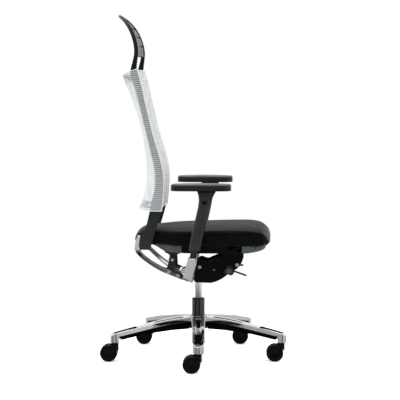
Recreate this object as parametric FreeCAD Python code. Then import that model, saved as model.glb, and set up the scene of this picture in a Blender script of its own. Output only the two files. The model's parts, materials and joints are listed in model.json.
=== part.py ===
"""A swivel office chair with a knitted back, synchronised tilt, arms and a headrest.

Millimetres. The origin is on the floor under the swivel axis and +Z is up. The chair
faces -Y, so the sitter's right-hand side is at -X. Each function makes one piece, and
the table at the end names the node that each piece is written to.
"""
import FreeCAD, Part
import math
import os

V = FreeCAD.Vector
ORIGIN = V(0, 0, 0)
UP = V(0, 0, 1)

# ---- driving dimensions ------------------------------------------------------------
LEGS = 5
BASE_TURN = 182.0            # heading of the first leg, degrees from +X
STEM_CIRCLE = 332.0          # swivel axis to castor stem
LEG_TIP_RADIUS = 19.5
LEG_ROOT_HALF_WIDTH = 27.0
BAND_DEPTH = 17.0            # thickness of the polished band on each leg
HUB_RADIUS = 44.0
HUB_BOTTOM = 112.0
HUB_TOP = 158.0

WHEEL_RADIUS = 32.5
WHEEL_INNER_X = 6.0
WHEEL_OUTER_X = 26.0
CASTOR_TRAIL = 25.0          # every castor trails to the rear at rest
STEM_RADIUS = 5.5
AXLE_RADIUS = 4.0
RUNNING = 0.06               # radial clearance of turning fits
SLIDING = 0.4                # clearance of pieces that slide past each other

TUBE_RADIUS = 25.0
TUBE_BORE = 23.0
TUBE_BOTTOM = 50.0
TUBE_TOP = 225.0
CYLINDER_RADIUS = 14.0
CYLINDER_BOTTOM = 136.0
CYLINDER_TOP = 318.0
ROD_RADIUS = 5.0

BACK_PIVOT = (-7.0, 355.0)   # (y, z) of the axle that the back swings on
SEAT_PIVOT = (-150.0, 364.0)  # (y, z) of the seat's front axle
HANGER_PIVOT = (95.5, 386.0)  # (y, z) where the seat hangs on the back carrier
CONTROL_AXIS = (-119.0, 344.0)  # (y, z) of the levers and the tension knob
HOUSING_HALF_WIDTH = 61.5
COVER_OUTER_X = 70.0

UPRIGHT_INNER_X = 168.0
UPRIGHT_OUTER_X = 182.0
KNIT = 2.4                   # thickness of the knitted sleeve

ARM_X = 260.0
ARM_LEAN = 11.6              # the arm post leans forward by this many degrees
ARM_SLEEVE_HALF_X = 17.0
PAD_LENGTH = 221.0
PAD_HALF_WIDTH = 43.0

SEAT_FRONT_Y = -279.0
SEAT_REAR_Y = 243.0
SEAT_HALF_WIDTH = 240.0
CUSHION_BOTTOM = 452.0
PAN_BOTTOM = 425.0


# ---- building blocks ---------------------------------------------------------------
def cylinder(radius, start, end):
    """A round bar from one point to another."""
    first = V(*start)
    along = V(*end).sub(first)
    return Part.makeCylinder(radius, along.Length, first, along)


def tube(outer, inner, start, end):
    return cylinder(outer, start, end).cut(cylinder(inner, start, end))


def block(low, high):
    size = [b - a for a, b in zip(low, high)]
    return Part.makeBox(size[0], size[1], size[2], V(*low))


def edge(points):
    """A straight edge through two points, or a smooth one through more."""
    corners = [V(*point) for point in points]
    if len(corners) == 2:
        return Part.makeLine(corners[0], corners[1])
    curve = Part.BSplineCurve()
    curve.interpolate(corners)
    return curve.toShape()


def polygon(points):
    corners = [V(*point) for point in points]
    return Part.makePolygon(corners + corners[:1])


def side_prism(runs, x_from, x_to):
    """An outline in the YZ plane, given as runs of (y, z) points, carried along X."""
    edges = [edge([(x_from, y, z) for y, z in run]) for run in runs]
    return Part.Face(Part.Wire(edges)).extrude(V(x_to - x_from, 0, 0))


def straight_runs(points):
    return [[a, b] for a, b in zip(points, points[1:] + points[:1])]


def side_plate(points, x_from, x_to):
    """A straight-sided outline of (y, z) points, carried along X."""
    return side_prism(straight_runs(points), x_from, x_to)


def plan_prism(points, z_from, z_to):
    """A straight-sided outline of (x, y) points, carried up Z."""
    face = Part.Face(polygon([(x, y, z_from) for x, y in points]))
    return face.extrude(V(0, 0, z_to - z_from))


def round_plan_prism(points, z_from, z_to):
    """A closed smooth curve through (x, y) points, carried up Z."""
    curve = Part.BSplineCurve()
    curve.interpolate([V(x, y, z_from) for x, y in points], True)
    return Part.Face(Part.Wire(curve.toShape())).extrude(V(0, 0, z_to - z_from))


def revolved(profile):
    """A closed (radius, z) profile turned about Z."""
    face = Part.Face(polygon([(r, 0, z) for r, z in profile]))
    return face.revolve(ORIGIN, UP, 360)


def loft(sections, ruled=False):
    return Part.makeLoft([polygon(section) for section in sections], True, ruled)


def swept_bar(path, widths, depths, sides, corner=0.22):
    """A bar through the path's points, its section an octagon with cut corners.

    The width lies along the side vector and the depth across it. The side vector is
    one for the whole bar, or a list with one for each point. The corner is the part
    of each half side that the cut takes.
    """
    sections = []
    last = len(path) - 1
    if isinstance(sides, tuple):
        sides = [sides] * len(path)
    for index, point in enumerate(path):
        along = V(*path[min(index + 1, last)]).sub(V(*path[max(index - 1, 0)]))
        across = along.cross(V(*sides[index])).normalize()
        flat = across.cross(along).normalize()
        half = widths[index] / 2.0
        deep = depths[index] / 2.0
        cut = corner * min(half, deep) * 2.0
        ring = [(half, deep - cut), (half - cut, deep), (cut - half, deep), (-half, deep - cut),
                (-half, cut - deep), (cut - half, -deep), (half - cut, -deep), (half, cut - deep)]
        sections.append([V(*point).add(flat * a).add(across * b) for a, b in ring])
    return loft(sections)


def mirrored(shape):
    return shape.mirror(ORIGIN, V(1, 0, 0))


def turned(shape, degrees):
    copy = shape.copy()
    copy.rotate(ORIGIN, UP, degrees)
    return copy


def moved(shape, x, y, z):
    copy = shape.copy()
    copy.translate(V(x, y, z))
    return copy


def group(shapes):
    return Part.makeCompound(shapes)


def between(table, value):
    """The second column of a table at a value of its first, joined by straight lines."""
    for (a, low), (b, high) in zip(table, table[1:]):
        if value <= b:
            return low + (high - low) * (value - a) / (b - a)
    return table[-1][1]


def leg_headings():
    return [BASE_TURN + 360.0 / LEGS * index for index in range(LEGS)]


def castor_place(index):
    heading = math.radians(leg_headings()[index])
    return (STEM_CIRCLE * math.cos(heading), STEM_CIRCLE * math.sin(heading))


# ---- five-star base ----------------------------------------------------------------
LEG_TOP = [(20, 158), (43, 156.8), (113, 150), (167, 142), (221, 131), (250, 125.5),
           (306, 114.5), (337, 107)]
LINER_BOTTOM = [(45, 112), (113, 110), (167, 105), (221, 99.5), (270, 90), (312, 82)]
BOSS_BOTTOM = 71.0
BOSS_INNER = STEM_CIRCLE - 11.0
SLOT_START, SLOT_END = 62.0, 178.0
PAD_START, PAD_END = 250.0, 338.0


def leg_plan(margin, z_from, z_to):
    """The leg's tapering plan, cut back all round by a margin."""
    root = LEG_ROOT_HALF_WIDTH - margin
    tip = LEG_TIP_RADIUS - margin
    taper = [(0, -root), (60, -root), (STEM_CIRCLE, -tip), (STEM_CIRCLE, tip), (60, root), (0, root)]
    end = cylinder(tip, (STEM_CIRCLE, 0, z_from), (STEM_CIRCLE, 0, z_to))
    return plan_prism(taper, z_from, z_to).fuse(end)


def along_leg(runs, half_width):
    """An outline of (distance from the axis, z) points, carried across the leg."""
    edges = [edge([(r, -half_width, z) for r, z in run]) for run in runs]
    return Part.Face(Part.Wire(edges)).extrude(V(0, 2 * half_width, 0))


def leg_slot(z_from, z_to, margin=0.0):
    """The tapering window between a leg's two rails."""
    wide, narrow = 11.0 - margin, 7.0 - margin
    start, end = SLOT_START + margin, SLOT_END - margin
    return plan_prism([(start, -wide), (end, -narrow), (end, narrow), (start, wide)], z_from, z_to)


def foot_pad_seat(margin, z_from, z_to):
    """The plan of a foot pad: it narrows outwards and has a round outer end."""
    wide, narrow = 15.0 - margin, 11.0 - margin
    start = PAD_START + margin
    end = PAD_END - narrow
    taper = plan_prism([(start, -wide), (end, -narrow), (end, narrow), (start, wide)], z_from, z_to)
    return taper.fuse(cylinder(narrow, (end, 0, z_from), (end, 0, z_to)))


def leg_casting():
    under = [(r, z - BAND_DEPTH) for r, z in LEG_TOP if r < BOSS_INNER - 5]
    top = LEG_TOP
    tip = STEM_CIRCLE + LEG_TIP_RADIUS
    runs = [top, [top[-1], (tip, 97)], [(tip, 97), (tip, BOSS_BOTTOM)],
            [(tip, BOSS_BOTTOM), (BOSS_INNER, BOSS_BOTTOM)],
            [(BOSS_INNER, BOSS_BOTTOM), (BOSS_INNER, under[-1][1] - 2)],
            [(BOSS_INNER, under[-1][1] - 2), under[-1]], under[::-1], [under[0], top[0]]]
    leg = along_leg(runs, LEG_ROOT_HALF_WIDTH + 2).common(leg_plan(0, 60, 170))
    leg = leg.cut(leg_slot(100, 170))
    pocket = foot_pad_seat(-0.4, 60, 170).common(
        along_leg(straight_runs([(240, between(LEG_TOP, 240) - 4), (345, between(LEG_TOP, 337) - 5.6),
                                 (345, 140), (240, 140)]), 20))
    leg = leg.cut(pocket)
    return leg.cut(cylinder(8.5, (STEM_CIRCLE, 0, 60), (STEM_CIRCLE, 0, 97)))


def base_star():
    hub = revolved([(20, HUB_BOTTOM), (HUB_RADIUS - 4, HUB_BOTTOM), (HUB_RADIUS, HUB_BOTTOM + 8),
                    (HUB_RADIUS, HUB_TOP - 6), (HUB_RADIUS - 4, HUB_TOP), (20, HUB_TOP)])
    leg = leg_casting()
    star = hub.fuse([turned(leg, heading) for heading in leg_headings()])
    return star.cut(cylinder(TUBE_RADIUS, (0, 0, 90), (0, 0, 180))).removeSplitter()


def leg_liner():
    """The black channel under one leg, with the infill that shows between the rails."""
    start = HUB_RADIUS + 1
    under = [(start, between(LEG_TOP, start) - BAND_DEPTH)]
    under += [(r, z - BAND_DEPTH) for r, z in LEG_TOP if start < r < BOSS_INNER - 5]
    bottom = [(max(r, start), z) for r, z in LINER_BOTTOM]
    runs = straight_runs(under + [(BOSS_INNER - 1, under[-1][1] - 2)] + bottom[::-1])
    channel = along_leg(runs, 30).common(leg_plan(2.5, 60, 170))
    infill_top = [(r, z - 6) for r, z in LEG_TOP if SLOT_START < r < SLOT_END]
    infill_top = [(SLOT_START, between(LEG_TOP, SLOT_START) - 6)] + infill_top
    infill_top += [(SLOT_END, between(LEG_TOP, SLOT_END) - 6)]
    infill = along_leg(straight_runs(infill_top + [(SLOT_END, 112), (SLOT_START, 120)]), 20)
    return channel.fuse(infill.common(leg_slot(100, 170, 0.1)))


def leg_liners():
    liner = leg_liner()
    return group([turned(liner, heading) for heading in leg_headings()])


def foot_pad():
    """A ribbed tread pad let into the top of a leg."""
    rise = 1.5
    inner = between(LEG_TOP, PAD_START)
    outer = between(LEG_TOP, PAD_END)
    slab = along_leg(straight_runs([(PAD_START, inner - 3.5), (PAD_END + 2, outer - 3.9),
                                    (PAD_END + 2, outer + rise - 1), (PAD_START, inner + rise)]), 20)
    ribs = 8
    grooves = []
    for index in range(ribs):
        r = PAD_START + 14 + index * 8.5
        z = between([(PAD_START, inner), (PAD_END, outer)], r) + rise
        grooves.append(block((r, -20, z - 1.2), (r + 2.4, 20, z + 3)))
    return slab.common(foot_pad_seat(0, 60, 170)).cut(group(grooves))


def foot_pads():
    pad = foot_pad()
    return group([turned(pad, heading) for heading in leg_headings()])


def stem_sockets():
    """The steel sleeves in the leg tips that the castor stems turn in."""
    socket = tube(8.4, STEM_RADIUS + RUNNING, (STEM_CIRCLE, 0, BOSS_BOTTOM + 0.4), (STEM_CIRCLE, 0, 96.5))
    return group([turned(socket, heading) for heading in leg_headings()])


# ---- gas column --------------------------------------------------------------------
BEARING_TOP = 62.0


def stand_tube():
    wall = tube(TUBE_RADIUS, TUBE_BORE, (0, 0, TUBE_BOTTOM), (0, 0, TUBE_TOP))
    floor = tube(TUBE_BORE, 8.0, (0, 0, TUBE_BOTTOM), (0, 0, TUBE_BOTTOM + 4))
    return wall.fuse(floor)


def guide_bush():
    """The plastic sleeve that guides the cylinder, with its collar over the tube's mouth."""
    sleeve = cylinder(TUBE_BORE - 0.1, (0, 0, 165), (0, 0, TUBE_TOP))
    collar = cylinder(TUBE_RADIUS + 0.8, (0, 0, TUBE_TOP), (0, 0, TUBE_TOP + 2.5))
    return sleeve.fuse(collar).cut(cylinder(CYLINDER_RADIUS + RUNNING, (0, 0, 150), (0, 0, 240)))


def thrust_bearing():
    """Two washers and the ball cage between them, on the tube's floor."""
    inner = ROD_RADIUS + 1.5
    low = TUBE_BOTTOM + 4
    washers = [tube(19, inner, (0, 0, low), (0, 0, low + 2)),
               tube(19, inner, (0, 0, BEARING_TOP - 2), (0, 0, BEARING_TOP))]
    cage = tube(17, inner + 1, (0, 0, low + 2), (0, 0, BEARING_TOP - 2))
    return group(washers + [cage])


def piston_rod():
    rod = cylinder(ROD_RADIUS, (0, 0, TUBE_BOTTOM - 4.5), (0, 0, 206))
    shoulder = cylinder(9, (0, 0, BEARING_TOP + 0.2), (0, 0, BEARING_TOP + 4))
    piston = cylinder(11.4, (0, 0, 204), (0, 0, 220))
    groove = tube(ROD_RADIUS + 1, ROD_RADIUS - 1, (0, 0, TUBE_BOTTOM - 2.5), (0, 0, TUBE_BOTTOM - 0.7))
    return rod.fuse([shoulder, piston]).cut(groove)


def retaining_clip():
    ring = tube(11, ROD_RADIUS - 1, (0, 0, TUBE_BOTTOM - 2.2), (0, 0, TUBE_BOTTOM - 0.9))
    return ring.cut(block((0, -2.6, TUBE_BOTTOM - 4), (20, 2.6, TUBE_BOTTOM)))


def gas_cylinder():
    body = cylinder(CYLINDER_RADIUS, (0, 0, CYLINDER_BOTTOM), (0, 0, 292))
    nose = Part.makeCone(CYLINDER_RADIUS, CYLINDER_RADIUS - 1, CYLINDER_TOP - 292, V(0, 0, 292), UP)
    bore = cylinder(11.5, (0, 0, CYLINDER_BOTTOM + 12), (0, 0, 305))
    rod_hole = cylinder(ROD_RADIUS + RUNNING, (0, 0, 120), (0, 0, 160))
    pin_hole = cylinder(3.0 + RUNNING, (0, 0, 300), (0, 0, 330))
    return body.fuse(nose).cut(group([bore])).cut(rod_hole).cut(pin_hole)


def release_pin():
    return cylinder(3.0, (0, 0, 309), (0, 0, 325)).fuse(cylinder(4.5, (0, 0, 325), (0, 0, 327.5)))


# ---- castors -----------------------------------------------------------------------
def castor_hood():
    """The castor's body: a neck on the stem, a web between the wheels and a front guard."""
    axle_y, axle_z = CASTOR_TRAIL, WHEEL_RADIUS
    guard = tube(38.3, WHEEL_RADIUS + 1.5, (-WHEEL_OUTER_X, axle_y, axle_z), (WHEEL_OUTER_X, axle_y, axle_z))
    guard = guard.common(block((-30, -20, 47), (30, 8, 80)))
    neck = cylinder(12.5, (0, 0, 40), (0, 0, BOSS_BOTTOM - 0.4))
    neck = neck.cut(cylinder(WHEEL_RADIUS + 1.5, (-40, axle_y, axle_z), (40, axle_y, axle_z)))
    web = side_prism([[(-9, 69), (12, 69)], [(12, 69), (40, 50), (42, 28)], [(42, 28), (25, 17), (8, 28)],
                      [(8, 28), (-4, 52), (-9, 69)]], -4.5, 4.5)
    hood = web.fuse([guard, neck])
    hood = hood.cut(cylinder(AXLE_RADIUS, (-40, axle_y, axle_z), (40, axle_y, axle_z)))
    return hood.cut(cylinder(STEM_RADIUS, (0, 0, 54), (0, 0, 90)))


def castor_pins():
    """The stem that stands in the leg, and the axle through both wheels."""
    stem = cylinder(STEM_RADIUS, (0, 0, 54), (0, 0, 95))
    reach = WHEEL_OUTER_X - 5.0
    axle = cylinder(AXLE_RADIUS, (-reach, CASTOR_TRAIL, WHEEL_RADIUS), (reach, CASTOR_TRAIL, WHEEL_RADIUS))
    return group([stem, axle])


def castor_wheels():
    """Two wheels on one axle, each a dished core, closed outside, with a tread ring around it."""
    bore = AXLE_RADIUS + RUNNING
    core_r = 27.5
    a, b = WHEEL_INNER_X, WHEEL_OUTER_X
    bore_end = b - 4.5
    core = revolved([(bore, a), (core_r, a), (core_r, b - 1), (core_r - 2, b), (core_r - 5, b - 2.5),
                     (9, b - 1.5), (7, b), (0, b), (0, bore_end), (bore, bore_end)])
    tread = revolved([(core_r, a), (WHEEL_RADIUS - 3, a), (WHEEL_RADIUS, a + 4), (WHEEL_RADIUS, b - 4),
                      (WHEEL_RADIUS - 3, b - 0.6), (core_r, b - 0.6)])
    solids = []
    for shape in (core, tread):
        shape.rotate(ORIGIN, V(0, 1, 0), 90)
        shape.translate(V(0, CASTOR_TRAIL, WHEEL_RADIUS))
        solids += [shape, mirrored(shape)]
    return group(solids)


def at_castor(shape, index):
    x, y = castor_place(index)
    return moved(shape, x, y, 0)


# ---- tilt mechanism ----------------------------------------------------------------
def housing_outline():
    """Runs of (y, z) points around the housing, from its rear foot round under the front."""
    return [[(5, 296), (-50, 294.5)], [(-50, 294.5), (-72, 301), (-111, 325)], [(-111, 325), (-150, 350)],
            [(-150, 350), (-168, 375), (-175.5, 411)], [(-175.5, 411), (-115, 409)],
            [(-115, 409), (-48, 380)], [(-48, 380), (-32, 376.5), (-22, 380), (-10, 383), (1, 378), (9.4, 365)],
            [(9.4, 365), (15.2, 308)], [(15.2, 308), (12, 299.5), (5, 296)]]


def mech_housing():
    """The open-topped tray that the tilt axles and the gas column's socket are in."""
    tray = side_prism(housing_outline(), -HOUSING_HALF_WIDTH, HOUSING_HALF_WIDTH)
    hollow = side_plate([(25, 285), (-25, 285), (-25, 301), (-48, 301), (-108, 333), (-145, 357),
                         (-162, 380), (-168, 425), (25, 425)], -55, 55)
    web = block((-58, -34, 296), (58, -14, 330))
    boss = cylinder(22, (0, 0, 296), (0, 0, 330))
    tray = tray.cut(hollow).fuse([web, boss])
    socket = Part.makeCone(CYLINDER_RADIUS, CYLINDER_RADIUS - 1, CYLINDER_TOP - 292, V(0, 0, 292), UP)
    mouth = cylinder(CYLINDER_RADIUS - 1, (0, 0, 318), (0, 0, 340))
    lug_slot = block((34.5, -185, 335), (47.5, -128, 420))
    tray = tray.cut(socket).cut(mouth).cut(lug_slot).cut(mirrored(lug_slot))
    for y, z in (BACK_PIVOT, SEAT_PIVOT):
        tray = tray.cut(cylinder(6, (-80, y, z), (80, y, z)))
    y, z = CONTROL_AXIS
    return tray.cut(cylinder(7.5 + RUNNING, (-80, y, z), (80, y, z)))


def mech_covers():
    """The two moulded side covers, each with its bolt holes."""
    cover = side_prism(housing_outline(), HOUSING_HALF_WIDTH + 0.1, COVER_OUTER_X)
    for y, z in (BACK_PIVOT, SEAT_PIVOT):
        cover = cover.cut(cylinder(6, (50, y, z), (90, y, z)))
    y, z = CONTROL_AXIS
    cover = cover.cut(cylinder(7.5 + RUNNING, (50, y, z), (90, y, z)))
    return group([cover, mirrored(cover)])


def mech_axles():
    """The back axle and the seat's front axle, with their heads outside the covers."""
    solids = []
    head_x = COVER_OUTER_X + 2.0
    for y, z in (BACK_PIVOT, SEAT_PIVOT):
        shaft = cylinder(6, (-head_x, y, z), (head_x, y, z))
        heads = [cylinder(6.8, (COVER_OUTER_X, y, z), (head_x, y, z)),
                 cylinder(6.8, (-head_x, y, z), (-COVER_OUTER_X, y, z))]
        solids.append(shaft.fuse(heads))
    screw = cylinder(2.6, (COVER_OUTER_X, -62, 345), (COVER_OUTER_X + 1.0, -62, 345))
    return group(solids + [screw, mirrored(screw)])


def tilt_spring():
    """The torsion coil around the back axle."""
    turns, pitch, radius, wire_radius = 9, 5.6, 10.5, 2.0
    helix = Part.makeHelix(pitch, pitch * turns, radius)
    start = Part.Circle(V(radius, 0, 0), V(0, 1, 0), wire_radius).toShape()
    coil = Part.Wire(helix).makePipeShell([Part.Wire(start)], True, True)
    coil.rotate(ORIGIN, V(0, 1, 0), 90)
    coil.translate(V(-pitch * turns / 2, BACK_PIVOT[0], BACK_PIVOT[1]))
    return coil


def control_hub(side):
    """A rounded triangular hub on the control axis, outside one cover."""
    y, z = CONTROL_AXIS
    inner, outer = side * (COVER_OUTER_X + 1.0), side * (COVER_OUTER_X + 19)
    corners = []
    for heading in (100, 220, 340):
        a = math.radians(heading)
        centre = (y + 9 * math.cos(a), z + 9 * math.sin(a))
        corners.append(cylinder(12, (inner,) + centre, (outer,) + centre))
    return corners[0].fuse(corners[1:]).fuse(cylinder(15, (inner, y, z), (outer, y, z))).removeSplitter()


def control_rod(side, tip, radius):
    """The thin lever that stands out of a control hub."""
    y, z = CONTROL_AXIS
    root = (side * (COVER_OUTER_X + 10), y - 16, z - 1)
    return cylinder(radius, root, tip).fuse(Part.makeSphere(radius, V(*tip)))


def height_lever():
    y, z = CONTROL_AXIS
    lever = control_hub(-1).fuse(control_rod(-1, (-142, -183, 334), 3.2))
    sleeve = cylinder(7.5, (-COVER_OUTER_X - 3, y, z), (-50, y, z))
    return lever.fuse(sleeve).cut(cylinder(4.5, (-120, y, z), (-40, y, z)))


def tension_knob():
    """The round knob on the hub's face, and its shaft through the lever's sleeve."""
    y, z = CONTROL_AXIS
    face = COVER_OUTER_X + 19
    cap = cylinder(11, (-face - 12, y, z), (-face - 0.4, y, z))
    cap = cap.cut(tube(8.5, 7.0, (-face - 14, y, z), (-face - 11, y, z)))
    return cap.fuse(cylinder(4.5 - RUNNING, (-face - 2, y, z), (-40, y, z)))


def lock_lever():
    y, z = CONTROL_AXIS
    lever = control_hub(1).fuse(control_rod(1, (142, -170, 338), 4.0))
    return lever.fuse(cylinder(7.5, (50, y, z), (COVER_OUTER_X + 3, y, z)))


# ---- back carrier ------------------------------------------------------------------
CARRIER_PATH = [(60, 50, 319), (66, 66, 322), (86, 100, 336), (115, 138, 356), (136, 165, 375),
                (154, 191, 396), (167, 211, 416), (172, 222, 433)]
CARRIER_BOLTS = [(76, 327), (112, 342)]


def back_carrier():
    """A yoke on the back axle, a crosspiece, and two arms that sweep out to the uprights."""
    y, z = BACK_PIVOT
    cheek = side_prism([[(y - 9, z + 10), (y + 2, z + 14), (y + 14, z + 9)], [(y + 14, z + 9), (62, 341)],
                        [(62, 341), (62, 306)], [(62, 306), (30, 299)], [(30, 299), (20, 303), (16, 312)],
                        [(16, 312), (y - 6, z - 13)], [(y - 6, z - 13), (y - 13, z), (y - 9, z + 10)]], 32, 52)
    cross = block((-54, 50, 307), (54, 72, 340))
    arm = swept_bar(CARRIER_PATH, [24, 22, 21, 21, 21, 20, 19, 18], [30, 24, 19, 18.5, 17.5, 17, 18, 20],
                    (1, 0, 0))
    rise = side_plate([(212, 431), (233, 431), (229, 462), (221, 486), (209.5, 486), (216, 452)], 166.5, 183)
    half = cheek.fuse([arm, rise])
    carrier = cross.fuse([half, mirrored(half)])
    carrier = carrier.cut(cylinder(6 + RUNNING, (-80, y, z), (80, y, z)))
    for hole_y, hole_z in CARRIER_BOLTS:
        carrier = carrier.cut(cylinder(4, (-140, hole_y, hole_z), (140, hole_y, hole_z)))
    window = cylinder(5.0, (30, 38, 318), (60, 38, 318)).fuse(cylinder(5.0, (30, 45, 320), (60, 45, 320)))
    return carrier.cut(window).cut(mirrored(window)).removeSplitter()


def carrier_bolts():
    """Ring-headed bolts through the carrier's arms, and the pins that the seat hangs on."""
    solids = []
    for (y, z), x in zip(CARRIER_BOLTS, (73, 95)):
        shank = cylinder(4, (x - 13, y, z), (x + 13, y, z))
        solids.append(shank.fuse(tube(9, 4, (x + 10.6, y, z), (x + 13.5, y, z))))
    y, z = HANGER_PIVOT
    solids.append(cylinder(5, (78, y, z), (101.5, y, z)).fuse(cylinder(6, (99, y, z), (101.5, y, z))))
    return group(solids + [mirrored(solid) for solid in solids])


def hanger_brackets():
    """The black plates that stand on the carrier's arms and hold the seat's rear pins."""
    y, z = HANGER_PIVOT
    plate = side_prism([[(y - 9, z + 6), (y, z + 12), (y + 10, z + 4)], [(y + 10, z + 4), (118, 352)],
                        [(118, 352), (112, 346)], [(112, 346), (60, 326)], [(60, 326), (58, 334)],
                        [(58, 334), (84, 346)], [(84, 346), (y - 9, z + 6)]], 92, 98.5)
    plate = plate.cut(cylinder(5, (70, y, z), (120, y, z)))
    return group([plate, mirrored(plate)])


UPRIGHT_SECTIONS = [  # height, front edge and rear edge
    (493, 158, 197), (503, 155, 195), (526, 147.5, 187.5), (553, 140, 181), (580, 134, 175), (610, 130.5, 168),
    (645, 127.5, 158.5), (685, 126, 153), (738, 131.5, 156.5), (788, 142.5, 167.5), (837, 157.5, 179.5),
    (913, 176.5, 197.5), (977, 191.5, 212), (1045, 206.5, 230.5), (1070, 212.5, 238)]


def upright():
    """One flat bar of the back frame: a wide side face and a bevelled front third."""
    inner, outer = UPRIGHT_INNER_X, UPRIGHT_OUTER_X
    sections = []
    for z, front, rear in UPRIGHT_SECTIONS:
        third = front + (rear - front) * 0.34
        sections.append([(inner, front, z), (outer - 5, front, z), (outer, third, z), (outer, rear, z),
                         (inner, rear, z)])
    bar = loft(sections)
    shoe = side_plate([(158, 493), (197, 493), (205, 490), (208.5, 484), (219, 436), (219, 433), (174.5, 433)],
                      inner, outer)
    nib = side_plate([(160, 512), (172, 514), (172, 503), (157, 500)], inner - 4, inner + 2)
    return bar.fuse([shoe, nib, headrest_guide()])


def bow(ends, middle, radius):
    """A round bar bent rearwards from one upright to the other."""
    arc = Part.Arc(V(-UPRIGHT_INNER_X, *ends), V(0, *middle), V(UPRIGHT_INNER_X, *ends))
    path = Part.Wire(arc.toShape())
    start = V(-UPRIGHT_INNER_X, *ends)
    ring = Part.Circle(start, arc.tangent(arc.FirstParameter)[0], radius).toShape()
    return path.makePipe(Part.Face(Part.Wire(ring)))


def back_top_bow():
    return bow((232, 1063), (280, 1080), 5.0)


def back_bottom_bow():
    return bow((160, 592), (212, 587), 4.5)


SLEEVE_LEVELS = [  # height, front edge, rear edge at the uprights, rear face at the middle
    (578, 131, 177, 227), (610, 127.5, 170, 213), (650, 124, 160, 203), (693, 122.5, 156, 197.5),
    (740, 128, 159.5, 199), (790, 140, 170.5, 203.5), (846, 157, 183.5, 211), (932, 179, 204, 231),
    (995, 193.5, 220, 254.5), (1050, 206, 235.5, 277.5), (1110, 222, 254, 297)]
RIM = (220.0, 1105.0, -0.33)   # the sleeve's top rim: its (y, z) in front, and its slope to the rear


def curved_section(points, z):
    """A closed outline: a smooth outer line, its inner line one knit thickness in, and two ends."""
    outer = [V(x, y, z) for x, y in points]
    inner = []
    for index, point in enumerate(outer):
        along = outer[min(index + 1, len(outer) - 1)].sub(outer[max(index - 1, 0)])
        inner.append(point.add(V(along.y, -along.x, 0).normalize() * KNIT))
    lines = [Part.BSplineCurve(), Part.BSplineCurve()]
    lines[0].interpolate(outer)
    lines[1].interpolate(inner[::-1])
    return Part.Wire([lines[0].toShape(), Part.makeLine(outer[-1], inner[-1]), lines[1].toShape(),
                      Part.makeLine(inner[0], outer[0])])


def below_rim(panel):
    """The panel without what stands above the sleeve's sloping top rim."""
    y, z, slope = RIM
    above = side_plate([(y - 100, z - 100 * slope), (y + 200, z + 200 * slope), (y + 200, z + 200),
                        (y - 100, z + 200)], -250, 250)
    return panel.cut(above)


def back_panel_rear():
    """The knit's rear face, taut between the bows, with the strips round the uprights."""
    sections = []
    side = UPRIGHT_OUTER_X + 3.2
    for z, front, rear, middle in SLEEVE_LEVELS:
        points = [(-side, front), (-side - 0.4, (front + rear) / 2), (-side + 2, rear - 1)]
        for x in (-150, -100, -50, 0, 50, 100, 150):
            points.append((x, rear + (middle - rear) * (1 - (x / side) ** 2)))
        points += [(-x, y) for x, y in points[2::-1]]
        sections.append(curved_section(points[::-1], z))
    return below_rim(Part.makeLoft(sections, True, False))


def back_panel_front():
    """The knit's front face, a little hollow between the uprights."""
    sections = []
    side = UPRIGHT_OUTER_X + 0.6
    for z, front, rear, middle in SLEEVE_LEVELS:
        hollow = 7.0
        points = [(x, front - 1.0 + hollow * (1 - (x / side) ** 2)) for x in (-side, -120, -60, 0, 60, 120, side)]
        sections.append(curved_section(points, z))
    return below_rim(Part.makeLoft(sections, True, False))


# ---- headrest ----------------------------------------------------------------------
GUIDE_LEAN = (0.0, 0.245, 0.97)
GUIDE_POINT = (148.0, 222.0, 1055.0)
HEADREST_PATH = [(172, 227.5, 1074), (172, 234, 1102), (171.5, 230, 1128), (170.5, 225, 1158), (167, 226, 1190),
                 (159, 234, 1222), (146, 246, 1250), (122, 264, 1277), (90, 281, 1295), (46, 295, 1305.5),
                 (0, 299, 1308)]
HEADREST_DEPTHS = [22, 23, 18, 15.5, 15, 14.5, 14, 13, 11.5, 10, 9.5]
BAND_LEVELS = [(1157, 1195), (1199, 1229), (1233, 1262), (1266, 1290)]


def slanted_post(size_x, size_y, low, high):
    """A bar along the headrest's guide direction, between two distances from the guide point."""
    lean = V(*GUIDE_LEAN).normalize()
    across = V(1, 0, 0).cross(lean).normalize()
    corners = []
    for a, b in ((-1, -1), (1, -1), (1, 1), (-1, 1)):
        corner = V(*GUIDE_POINT).add(V(1, 0, 0) * (a * size_x / 2)).add(across * (b * size_y / 2))
        corners.append(corner.add(lean * low))
    return Part.Face(polygon([tuple(corner) for corner in corners])).extrude(lean * (high - low))


def headrest_guide():
    """The clamp on the upright's inner face that holds a headrest post."""
    clamp = slanted_post(22, 20, -16, 16).fuse(block((157, 212, 1045), (169, 224, 1062)))
    return clamp.cut(slanted_post(12 + 2 * SLIDING, 13 + 2 * SLIDING, -20, 20))


def headrest_frame():
    """A horseshoe: two posts that curve back and meet in an arch, with tongues in the back."""
    path = HEADREST_PATH + [(-x, y, z) for x, y, z in HEADREST_PATH[-2::-1]]
    depths = HEADREST_DEPTHS + HEADREST_DEPTHS[-2::-1]
    widths = [9.0] * len(path)
    outward = [(x, 0.35 * max(z - 1190, 0), max(z - 1190, 0)) for x, y, z in path]
    arch = swept_bar(path, widths, depths, outward)
    tongue = slanted_post(12, 13, -62, 42)
    step = block((142, 224, 1086), (173, 238, 1097))
    return arch.fuse([tongue, mirrored(tongue), step, mirrored(step)])


def frame_place(z):
    """Half width and depth of the headrest's frame at a height."""
    half = between([(point[2], point[0]) for point in HEADREST_PATH], z)
    return half, between([(point[2], point[1]) for point in HEADREST_PATH], z)


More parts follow.
